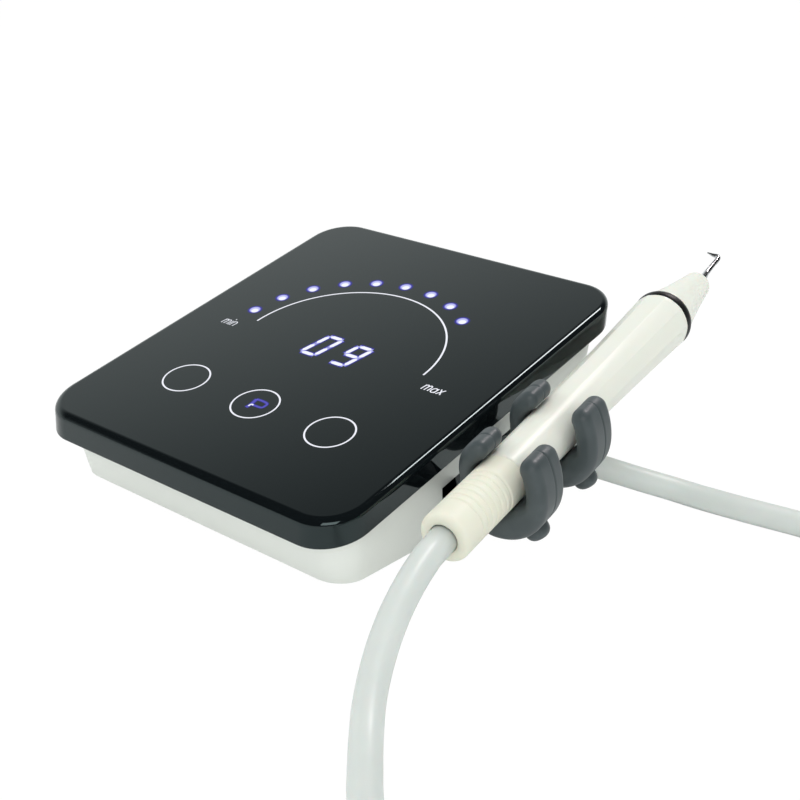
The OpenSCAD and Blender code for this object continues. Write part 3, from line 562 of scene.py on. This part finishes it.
def ribbon(line, width, lift=0.03, profile=((-0.5, 1.0), (0.5, 1.0))):
    """A flat ribbon along a line of the panel's plane, and its level across.

    The profile holds (offset, level) pairs, offsets as shares of the width.
    """
    line = np.asarray(line, float)
    t = np.gradient(line, axis=0)
    t /= np.linalg.norm(t, axis=1)[:, None]
    side = np.stack([-t[:, 1], t[:, 0]], 1)
    offsets = np.array([p[0] for p in profile]) * width
    xy = line[:, None] - offsets[None, :, None] * side[:, None]
    values = np.tile([p[1] for p in profile], (len(line), 1))
    return (on_slope(xy, lift), False, False), values


def arc(cx, cy, r, start, stop, steps, rx=None):
    """Points of a circle's arc, angles in degrees; an ellipse's where rx is given."""
    a = np.radians(np.linspace(start, stop, steps))
    return np.stack([cx + (rx or r) * np.cos(a), cy + r * np.sin(a)], 1)


def disc(cx, cy, radii, values, lift, sides=32):
    """A disc as rings round its middle, the level given at each radius."""
    a = np.radians(np.linspace(0, 360, sides, endpoint=False))
    unit = np.stack([np.cos(a), np.sin(a)], 1)
    xy = np.array([[cx, cy] + r * unit for r in radii])
    return (on_slope(xy, lift), True, False), np.repeat(values, sides)


ARC_Y, ARC_R, ARC_WIDTH = 35.9, 33.95, 0.58
PITCH, KEY_R, KEY_WIDTH = 29.14, 7.26, 0.52
strokes = [ribbon(arc(0, ARC_Y, ARC_R, 180, 0, 120), ARC_WIDTH)]
for k in (-1, 0, 1):
    strokes.append(ribbon(arc(k * PITCH, 0, KEY_R, 0, 360, 73), KEY_WIDTH))


# %% [markdown]
# ### Words and digits
#
# The words are drawn stroke by stroke, narrowed and with an italic lean, and the digits
# are the usual seven bars with pointed ends.

# %% Words and digits
NARROW, ITALIC = 0.86, 0.16


def word(x, y, size, glyphs, stroke):
    """Draws glyphs side by side: each is (lines, advance) on a grid where 1 is x-height."""
    made = []
    for lines, advance in glyphs:
        for line in lines:
            line = np.asarray(line, float)
            across = NARROW * line[:, 0] + ITALIC * line[:, 1]
            spots = np.column_stack([x + across * size, y + line[:, 1] * size])
            made.append(ribbon(spots, stroke))
        x += NARROW * advance * size
    return made


def hump(x, width):
    """A stem's shoulder: half an ellipse up to x-height, then straight down."""
    a = np.radians(np.linspace(180, 0, 12))
    top = np.column_stack([x + width / 2 + width / 2 * np.cos(a), 0.62 + 0.38 * np.sin(a)])
    return np.vstack([top, [x + width, 0.0]])


bowl = arc(0.36, 0.42, 0.42, 0, 360, 28, 0.36)
GLYPHS = {
    "m": ([[(0, 0), (0, 1)], hump(0, 0.52), hump(0.52, 0.52)], 1.36),
    "i": ([[(0, 0), (0, 1)], [(0, 1.28), (0, 1.48)]], 0.32),
    "n": ([[(0, 0), (0, 1)], hump(0, 0.6)], 0.92),
    "a": ([bowl, [(0.72, 0), (0.72, 0.9)]], 1.04),
    "x": ([[(0, 0), (0.66, 1)], [(0, 1), (0.66, 0)]], 0.8),
}
X_HEIGHT = 2.6
strokes += word(-44.3, 29.6, X_HEIGHT, [GLYPHS[c] for c in "min"], 0.3)
strokes += word(37.8, 29.7, X_HEIGHT, [GLYPHS[c] for c in "max"], 0.4)
glows = []

GLOW_ACROSS = ((-0.5, 0.0), (-0.3, 0.3), (-0.15, 0.75), (0.15, 0.75), (0.3, 0.3), (0.5, 0.0))
DIGIT_W, DIGIT_H, DIGIT_LEAN = 5.3, 11.0, 0.2
BAR, BAR_GAP, BAR_GLOW = 1.45, 0.45, 2.2


def digit(cx, cy, lit):
    """The lit ones of seven bars a to g; each is a ribbon pointed at both ends."""
    w, h = DIGIT_W / 2, DIGIT_H / 2
    ends = {
        "a": (-w, h, w, h), "b": (w, h, w, 0), "c": (w, 0, w, -h), "d": (-w, -h, w, -h),
        "e": (-w, 0, -w, -h), "f": (-w, h, -w, 0), "g": (-w, 0, w, 0),
    }
    for name in lit:
        x0, y0, x1, y1 = ends[name]
        d = np.array([x1 - x0, y1 - y0], float)
        d /= np.linalg.norm(d)
        a, b = np.array([x0, y0]) + BAR_GAP * d, np.array([x1, y1]) - BAR_GAP * d
        side = np.array([-d[1], d[0]])
        cross = np.array([0.0, 1.0, 1.0, 0.0])[:, None, None] * BAR / 2
        spine = np.array([a, a + d * BAR / 2, b - d * BAR / 2, b])
        xy = spine[:, None] + cross * np.array([side, -side])[None]
        xy[..., 0] += DIGIT_LEAN * xy[..., 1]
        xy += [cx, cy]
        strokes.append(((on_slope(xy, 0.04), False, False), np.ones((4, 2))))
        glow_line = np.linspace(a - 0.4 * d, b + 0.4 * d, 6)
        glow_line[:, 0] += DIGIT_LEAN * glow_line[:, 1]
        glows.append(ribbon(glow_line + [cx, cy], BAR * BAR_GLOW, 0.02, GLOW_ACROSS))


digit(-4.3, 34.2, "abcdef")
digit(7.9, 33.9, "abcdfg")

# The middle key's symbol: a stem and a bowl that glow, and a short white serif.
stem = [(-1.1, -2.7), (-0.9, -0.7), (-1.3, 2.0)]
bowl_line = [
    (-1.3, 2.0), (1.2, 2.1), (3.2, 1.7), (3.5, 0.5), (3.1, -0.6), (1.0, -0.8), (-0.9, -0.7),
]
serif = [(-0.95, -1.9), (-0.75, -0.8), (0.1, -0.85)]
SYMBOL_ACROSS = ((-0.5, 0.0), (-0.2, 0.5), (0.2, 0.5), (0.5, 0.0))
glows.append(ribbon(smooth(stem, 6), 1.9, 0.022, SYMBOL_ACROSS))
glows.append(ribbon(smooth(bowl_line, 5), 1.4, 0.021, SYMBOL_ACROSS))
strokes.append(ribbon(smooth(serif, 6), 0.55, 0.04))

LAMPS, LAMP_R, FIRST_LAMP, LAMP_STEP = 9, 39.7, 173.4, 15.5
for k in range(LAMPS):
    a = math.radians(FIRST_LAMP - LAMP_STEP * k)
    x, y = LAMP_R * math.cos(a), ARC_Y + LAMP_R * math.sin(a)
    strokes.append(disc(x, y, (0.0, 1.08, 1.32), (1.0, 1.0, 0.0), 0.04))
    glows.append(disc(x - 0.42, y + 0.5, (0.0, 1.5, 2.1, 2.8), (1.0, 0.85, 0.34, 0.0), 0.02))

for name, made, finish in (
    ("panel_marks", strokes, mark_look),
    ("panel_glow", glows, glow_look),
):
    skin(name, [m[0] for m in made], finish, levels=[m[1] for m in made])

# %% [markdown]
# ## Handpiece
#
# Everything here turns about the handpiece's own axis: a profile of (along, radius)
# pairs is spun round it.


# %% Handpiece
def spin(profile, sides, facets):
    """Rings round the axis; facets(z, angles), if given, is the radius's relative change."""
    a = np.linspace(0, 2 * np.pi, sides, endpoint=False)
    rings = []
    for z, r in profile:
        radius = r * (1 + (facets(z, a) if facets else 0 * a))
        spokes = np.cos(a)[:, None] * OUT + np.sin(a)[:, None] * DOWN
        rings.append(TAIL + z * AXIS + radius[:, None] * spokes)
    return rings


GRIP, SLEEVE, LIP_LEN, NOSE = 132.3, 30.0, 5.0, 33.0
TAIL_R, MIDDLE_R, LIP_R = 7.05, 7.55, 9.65
BORE_R = 5.4


def barrel(z):
    """Radius of the grip: a parabola through its tail, middle and lip radii."""
    s = z / GRIP
    return TAIL_R * (1 - s) * (1 - 2 * s) + 4 * MIDDLE_R * s * (1 - s) + LIP_R * s * (2 * s - 1)


def rounded(z, r, size, angles, out=1):
    """A quarter round in a profile: its middle lies size inside z and r."""
    return [(z + out * size * (math.sin(a) - 1), r - size + size * math.cos(a)) for a in angles]


def soft_sides(z, a):
    """Ten flats that fade in from the hooks to the front: a polygon's cos(p) / cos(a) law.

    They start at z = 55, are at their full 0.75 of a true polygon at z = 110 and are gone
    at the grip's end.
    """
    grow = np.clip((z - 55) / 55, 0, 1) * np.clip((GRIP - z) / 1.5, 0, 1)
    half = math.pi / 10
    off = (a + 0.12) % (2 * half) - half
    return 0.75 * grow * (math.cos(half) / np.cos(off) - 1)


def turned_skin(name, profile, look, node, sides=72, facets=None):
    """A skin spun from a profile, riding on the handpiece in place of its CAD node."""
    skin(name, [(spin(profile, sides, facets), True, False)], look, "handpiece", (node,))


# Sleeve: the hose's hole, a rounded end, seven fine grooves and a step to the shell.
END_R, GROOVES, GROOVE_STEP, GROOVE_DEPTH = 1.5, 7, 2.4, 0.34
sleeve_line = [(8.0, 3.9), (0.35, 3.9), (0.1, 4.0), (0.0, 4.2)]
sleeve_line += rounded(0, barrel(0), END_R, quarter[::-1], out=-1)
z = np.linspace(3.0, SLEEVE - 0.02, 300)
depth = sum(np.exp(-(((z - 8 - GROOVE_STEP * k) / 0.3) ** 2)) for k in range(GROOVES))
sleeve_line += list(zip(z, barrel(z) - GROOVE_DEPTH * depth))
sleeve_line += [(SLEEVE, barrel(SLEEVE) - 0.3), (SLEEVE, 4.6)]
turned_skin("sleeve_skin", sleeve_line, sleeve_look, "tail_sleeve")

# Shell and lip: close double rings where they meet keep the seam's shading even.
SHELL, SEAM = SLEEVE + 0.1, GRIP - LIP_LEN
seam_r = barrel(SEAM)
shell_line = [(SHELL, BORE_R), (SHELL, barrel(SLEEVE) - 0.25), (SLEEVE + 0.3, barrel(SLEEVE))]
shell_line += [(v, barrel(v)) for v in np.linspace(SLEEVE + 1, SEAM - 0.3, 60)]
shell_line += [(SEAM - 0.02, seam_r), (SEAM + 0.01, seam_r), (SEAM + 0.01, BORE_R)]
turned_skin("shell_skin", shell_line, ivory_look, "handpiece_shell", 240, soft_sides)

lip_line = [(SEAM, BORE_R), (SEAM, seam_r), (SEAM + 0.03, seam_r)]
lip_line += [(v, barrel(v)) for v in np.linspace(GRIP - 4.4, GRIP - 1.0, 12)]
lip_line += rounded(GRIP, barrel(GRIP), 0.9, quarter) + [(GRIP, BORE_R)]
turned_skin("lip_skin", lip_line, lip_look, "front_lip", 240, soft_sides)

# O-ring: an oval, RING_R across the axis and RING_HALF along it.
RING_R, RING_HALF = 1.5, 2.0
a = np.linspace(0, 2 * np.pi, 25)
ring_z = GRIP + RING_HALF - 0.2 + RING_HALF * np.sin(a)
ring_line = list(zip(ring_z, LIP_R - RING_R - 0.02 + RING_R * np.cos(a)))
turned_skin("o_ring_skin", ring_line, o_ring_look, "o_ring", 96)

# Nose: a groove for the ring, a shoulder, a slightly hollow cone and a rounded end.
nose_from, nose_to = GRIP + 3.5, GRIP + NOSE
nose_end, NOSE_ROUND, NOSE_BORE = nose_to - 1.2, 1.6, 1.9
nose_line = [(GRIP + 0.1, 3.4), (GRIP + 0.1, 7.2), (nose_from, 7.2), (nose_from, 8.2)]
nose_line += [(nose_from + 0.25, 8.6), (nose_from + 0.8, 8.82)]
cone = nose_end - nose_from - NOSE_ROUND
for s in np.linspace(0.06, 1, 30):
    nose_line.append((nose_from + cone * s, 4.6 + 4.25 * (1 - s) * (1 - 0.25 * s)))
nose_line += rounded(nose_end, 4.6, NOSE_ROUND, quarter[1:])
nose_line += [(nose_end, NOSE_BORE), (nose_end - 5, NOSE_BORE)]
turned_skin("nose_skin", nose_line, ivory_look, "nose_cone", 96)

# %% [markdown]
# The scaler tip is a steel collar, a thin shank with an elbow, and a short pointed end
# that turns across it.


# %% Tip
# The shank's points: out, down and along from the nose's nominal end, and the radius.
tip_way = [
    [0, 0, 1.2, 1.6], [0, 0, 2.6, 1.45], [0, -0.5, 5, 1.1], [0, -0.9, 7, 0.95],
    [0.5, -2.1, 10.5, 0.87], [1, -3.2, 13.6, 0.85], [0.4, -3.6, 14.8, 0.82],
    [-1.2, -3.7, 15.1, 0.6], [-3.5, -3.9, 15.7, 0.22],
]
line = smooth(np.array(tip_way) + [0, 0, nose_to, 0], 8)
shank_way = TAIL + line[:, :1] * OUT + line[:, 1:2] * DOWN + line[:, 2:3] * AXIS
collar = spin([(nose_to - 1.6, 1.85), (nose_to + 1.2, 1.9), (nose_to + 1.4, 1.5)], 6, None)
skin(
    "tip_skin",
    [(tube(shank_way, line[:, 3], 20), True, True), (collar, True, True)],
    tip_look,
    "handpiece",
    ("scaler_tip",),
)

# %% [markdown]
# ## Hooks
#
# Each hook is a clip with a half ring under the handpiece and two arms that lean in
# over it. Its section is a rounded oblong with a fine mould line on both faces, and a
# neck joins it to the plate in the wall. Angles round the half ring run from the outer
# arm (0) over the bottom to the inner arm (pi).


# %% Hooks
HOOK_T, HOOK_W, HOOK_EDGE, HOOK_GAP = 6.0, 13.0, 2.6, 0.25
ARM, LEAN_R, CURL_R = 10.0, 21.0, 13.2
HANG_OUT, HANG_DOWN, HANG_TURN = 0.9, 0.7, math.radians(4)
MOULD_AT, MOULD_DEPTH, MOULD_WIDTH = 0.05, 0.42, 0.26
THINNED, NARROWED = 2.3, 0.42


def hook_section(round_off, hug, thin):
    """The arm's section, drawn smaller as round_off goes from 0 to 90 degrees at a tip.

    It is an oblong with four quarter rounds, a bell-shaped dip along both faces as its
    mould line, its inner face moved in by hug and its outer face by thin.
    """
    c = math.cos(round_off)
    ht, hw = HOOK_T / 2 * c, HOOK_W / 2 - HOOK_T / 2 * (1 - c)
    r = min(HOOK_EDGE, ht * 0.98)
    side = np.linspace(-(hw - r), hw - r, 41)
    dip = np.exp(-(((side - MOULD_AT * HOOK_W) / MOULD_WIDTH) ** 2))
    dip *= MOULD_DEPTH * (0.4 + 0.6 * c)

    def edge(x, z, first):
        """A quarter round of the section, its two ends left out."""
        a = np.radians(np.linspace(first, first + 90, 9))[1:-1]
        return np.column_stack([x + r * np.cos(a), z + r * np.sin(a)])

    out = [np.column_stack([ht - dip, side])]
    out += [edge(ht - r, hw - r, 0), edge(-ht + r, hw - r, 90)]
    out.append(np.column_stack([-ht + dip[::-1], side[::-1]]))
    out += [edge(-ht + r, -hw + r, 180), edge(ht - r, -hw + r, 270)]
    out = np.concatenate(out)
    inner = (ht - out[:, 0]) / (2 * ht)
    out[:, 0] -= hug * inner + thin * c * (1 - inner)
    return out


def hug_at(b, ring, along):
    """How far the half ring's inner face moves in at angle b to lie on the handpiece.

    Along the spoke at b, the handpiece ends at h.u + sqrt(R^2 - (h x u)^2), where h is its
    middle seen from the clip's and R its radius with a thin gap.
    """
    u = np.array([math.cos(b), math.sin(b)])
    c, s = math.cos(HANG_TURN), math.sin(HANG_TURN)
    h = -np.array([HANG_OUT * c + HANG_DOWN * s, HANG_DOWN * c - HANG_OUT * s])
    across = h[0] * u[1] - h[1] * u[0]
    reach = h @ u + math.sqrt((barrel(along + HOOK_W / 2) + HOOK_GAP) ** 2 - across**2)
    fade = np.clip(min(b, math.pi - b) / 0.5, 0, 1)
    return max(0.0, ring - HOOK_T / 2 - reach) * fade * fade * (3 - 2 * fade)


def in_clip(along, x, y, z):
    """Points of a clip's own plane in the unit frame: x out, y down, z along the handpiece.

    The clip is turned a little, and its middle hangs low and to the outer side.
    """
    x, y, z = np.broadcast_arrays(x, y, z)
    u, v = math.cos(HANG_TURN), math.sin(HANG_TURN)
    x, y = HANG_OUT + x * u - y * v, HANG_DOWN + x * v + y * u
    return TAIL + x[..., None] * OUT + y[..., None] * DOWN + (along + z)[..., None] * AXIS


def ramp(x, start, length):
    """0 up to start, 1 from start + length on, and straight between."""
    return np.clip((x - start) / length, 0, 1)


def clip_rings(along):
    """Rings along arm, half ring and arm, with both tips rounded off."""
    ring = barrel(along + HOOK_W / 2) + HOOK_GAP + math.hypot(HANG_OUT, HANG_DOWN) + HOOK_T / 2
    lean_x, lean = ring - LEAN_R, math.asin(ARM / LEAN_R)
    curl_x, curl = CURL_R - ring, math.asin(ARM / CURL_R)
    line = [
        (lean_x + LEAN_R * math.cos(b), -LEAN_R * math.sin(b), -b)
        for b in np.linspace(lean, 0, 12)
    ]
    line += [
        (ring * math.cos(b), ring * math.sin(b), b) for b in np.radians(np.linspace(4, 176, 44))
    ]
    line += [
        (curl_x - CURL_R * math.cos(b), -CURL_R * math.sin(b), math.pi + b)
        for b in np.linspace(0, curl, 16)
    ]
    ends = np.radians([86, 78, 68, 57, 45, 33, 22, 11])
    stations = [(line[0], e, -1) for e in ends] + [(p, 0.0, 1) for p in line]
    stations += [(line[-1], e, 1) for e in ends[::-1]]
    rings = []
    for (x, y, turned), end, side in stations:
        hug = hug_at(turned, ring, along) if 0 < turned < math.pi else 0.0
        thin = THINNED * ramp(turned, 1.6, 1.0) * (1 - 0.75 * ramp(turned, math.pi, 0.8))
        narrow = NARROWED * ramp(turned, 1.9, 0.8) * (1 - 0.6 * ramp(turned, math.pi, 0.6))
        q = hook_section(end, hug, thin)
        q[:, 1] = np.where(q[:, 1] < 0, q[:, 1] * (1 - narrow), q[:, 1])
        on = HOOK_T / 2 * math.sin(end) * side
        u, v = math.cos(turned), math.sin(turned)
        rings.append(in_clip(along, x + q[:, 0] * u - on * v, y + q[:, 0] * v + on * u, q[:, 1]))
    return rings, ring


def pull_tab(along, ring):
    """Rounded stud under the outer side, 52 degrees below level."""
    profile = [(0.0, 3.5), (2.4, 3.5)] + rounded(4.8, 3.5, 2.4, quarter[1:]) + [(4.8, 0.3)]
    turned = math.radians(52)
    a = np.linspace(0, 2 * np.pi, 32, endpoint=False)
    rings = []
    for h, r in profile:
        reach = ring + HOOK_T / 2 - 1.4 + h
        across, z = r * np.cos(a), 1.5 + r * np.sin(a)
        x = reach * math.cos(turned) - across * math.sin(turned)
        y = reach * math.sin(turned) + across * math.cos(turned)
        rings.append(in_clip(along, x, y, z))
    return rings


def neck(along, ring, start):
    """Four-sided neck from the plate in the wall to the clip's lower inner side.

    Its foot starts at start along the plate, which leans as the panel does, and its head
    lies in the half ring at 136 degrees.
    """
    plate = np.array([55.5, 18, 9.8])  # the plate's lower front corner
    upslope = np.array([0, math.cos(SLOPE), math.sin(SLOPE)])
    upright = np.array([0, -math.sin(SLOPE), math.cos(SLOPE)])
    sides = ((0, 1.4), (7, 1.4), (7, 8.6), (0, 8.6))
    foot = np.array([plate + (start + j) * upslope + k * upright for j, k in sides])
    turned, half = math.radians(136), np.array([-4, -4, 4, 4])
    x = ring * math.cos(turned) - half * math.sin(turned)
    y = ring * math.sin(turned) + half * math.cos(turned)
    head = in_clip(along, x, y, np.array([-3.5, 5.0, 5.0, -3.5]))
    to_first, to_third = (np.linalg.norm(foot[0] - head[i]) for i in (0, 2))
    return [foot, np.roll(head, 2, axis=0) if to_first > to_third else head]


for node, along, start in (("front_hook", 29.7, 0.8), ("rear_hook", 58.0, 22)):
    rings, ring = clip_rings(along)
    parts = [rings, pull_tab(along, ring), neck(along, ring, start)]
    shapes = [(part, True, True) for part in parts]
    skin(node + "_skin", shapes, hook_look, "base", (node,))

# %% [markdown]
# ## The other pieces
#
# The tub, the fittings and everything inside keep the CAD solids. Their meshes are
# joined along their seams and smoothed where faces meet at less than 28 degrees.

# %% Finish the CAD nodes
slots = {s["node"]: s["material_slot"] for s in frame["record"]["subparts"]}
looks = {**OTHER, **VISIBLE}
for name, node in frame["nodes"].items():
    mesh = node.data
    mesh.materials.clear()
    mesh.materials.append(looks[slots[name]].material)
    if "custom_normal" in mesh.attributes:
        mesh.attributes.remove(mesh.attributes["custom_normal"])
    mesh.polygons.foreach_set("use_smooth", [True] * len(mesh.polygons))
    weld = node.modifiers.new("weld", "WELD")
    weld.merge_threshold = 1e-6
    edges = node.modifiers.new("edges", "EDGE_SPLIT")
    edges.split_angle = math.radians(28)
    edges.use_edge_sharp = False
print(len(frame["nodes"]), "CAD nodes finished")

# %% [markdown]
# ## Table, light and render
#
# The table is white and shows only a faint shadow. Five lights stand round the unit: a
# broad soft one above, a fill from the camera's side, a weak one at either side, and a
# pinkish strip behind that shows in shiny surfaces only.
#
# The sky has two strengths. The soft one is bright all round and dim overhead. The one
# that shiny surfaces mirror is dark above the camera's side and bright at the far side,
# which gives the black panel its grey sheen.

# %% Stage
table = bpy.data.meshes.new("table")
table.from_pydata([(-6, -6, 0), (6, -6, 0), (6, 6, 0), (-6, 6, 0)], [], [(0, 1, 2, 3)])
floor = bpy.data.objects.new("table", table)
scene.collection.objects.link(floor)
floor.location.z = -0.0001
floor_look = Shader("table_white", Base_Color=(0.9, 0.9, 0.9), Roughness=0.9)
floor_look.set(Specular_IOR_Level=0.0)
out = next(n for n in floor_look.tree.nodes if n.type == "OUTPUT_MATERIAL")
white = floor_look.node("Emission", {"Color": (1.0, 1.0, 1.0), "Strength": 1.02})
seen = floor_look.node("LightPath").outputs["Is Camera Ray"]
share = Value(floor_look, seen) * 0.97
lit = floor_look.surface.outputs[0]
glowing = floor_look.node("MixShader", {0: share, 1: lit, 2: white.outputs[0]})
floor_look.feed(out.inputs["Surface"], glowing.outputs[0])
table.materials.append(floor_look.material)

world = bpy.data.worlds.new("studio")
scene.world = world
world.use_nodes = True
nodes, links = world.node_tree.nodes, world.node_tree.links
nodes.clear()
path = nodes.new("ShaderNodeLightPath")
room, backdrop = nodes.new("ShaderNodeBackground"), nodes.new("ShaderNodeBackground")
sky = nodes.new("ShaderNodeTexCoord").outputs["Generated"]


def dome(direction, *levels):
    """Strength that steps smoothly along a direction of the sky.

    The levels are the step's start and end, as cosines of the angle to the direction, and
    the strength before and after it.
    """
    along = nodes.new("ShaderNodeVectorMath")
    along.operation = "DOT_PRODUCT"
    along.inputs[1].default_value = direction
    links.new(sky, along.inputs[0])
    step = nodes.new("ShaderNodeMapRange")
    step.interpolation_type = "SMOOTHSTEP"
    for slot, value in zip(step.inputs[1:5], levels):
        slot.default_value = value
    links.new(along.outputs["Value"], step.inputs[0])
    return step.outputs[0]


sky_strength = nodes.new("ShaderNodeMix")
links.new(path.outputs["Is Glossy Ray"], sky_strength.inputs[0])
links.new(dome((0.0, 0.0, 1.0), 0.6, 0.84, 0.92, 0.06), sky_strength.inputs[2])
links.new(dome((0.55, -0.47, 0.69), -0.31, 0.14, 1.0, 0.04), sky_strength.inputs[3])
room.inputs["Color"].default_value = (0.965, 1.0, 0.995, 1.0)
links.new(sky_strength.outputs[0], room.inputs["Strength"])
backdrop.inputs["Color"].default_value = (1.0, 1.0, 1.0, 1.0)
backdrop.inputs["Strength"].default_value = 1.0
mixed, world_out = nodes.new("ShaderNodeMixShader"), nodes.new("ShaderNodeOutputWorld")
links.new(path.outputs["Is Camera Ray"], mixed.inputs[0])
links.new(room.outputs[0], mixed.inputs[1])
links.new(backdrop.outputs[0], mixed.inputs[2])
links.new(mixed.outputs[0], world_out.inputs[0])


def softbox(name, place, aim, size, watts, glossy=True):
    """A rectangular light at place that faces aim, all in metres."""
    data = bpy.data.lights.new(name, "AREA")
    data.shape, data.size, data.size_y, data.energy = "RECTANGLE", *size, watts
    lamp = bpy.data.objects.new(name, data)
    scene.collection.objects.link(lamp)
    lamp.location = place
    lamp.rotation_euler = (Vector(aim) - Vector(place)).to_track_quat("-Z", "Y").to_euler()
    lamp.visible_glossy = glossy
    return lamp


softbox("top_light", (0.1, 0.1, 0.9), (0.0, 0.0, 0.0), (0.7, 0.7), 4.4, glossy=False)
softbox("front_fill", (0.5, -0.9, 0.5), (0.0, 0.0, 0.03), (0.6, 0.5), 3.2)
softbox("left_light", (-0.8, -0.3, 0.6), (0.0, 0.0, 0.03), (0.5, 0.5), 1.8, glossy=False)
softbox("right_light", (0.9, 0.15, 0.4), (0.0, 0.0, 0.03), (0.5, 0.5), 0.5, glossy=False)
strip = softbox("edge_strip", (0.07, 0.43, 0.88), (0.06, 0.04, 0.04), (0.2, 0.36), 4.6)
strip.data.color = (1.0, 0.9, 0.91)
strip.visible_diffuse = False

scene.render.engine = "CYCLES"
scene.cycles.samples = 96
scene.cycles.use_denoising = True
scene.view_settings.view_transform = "Standard"
scene.view_settings.look = "None"
print("stage ready")

# %% [markdown]
#
# The last line updates the view layer.

# %% Finish
bpy.context.view_layer.update()
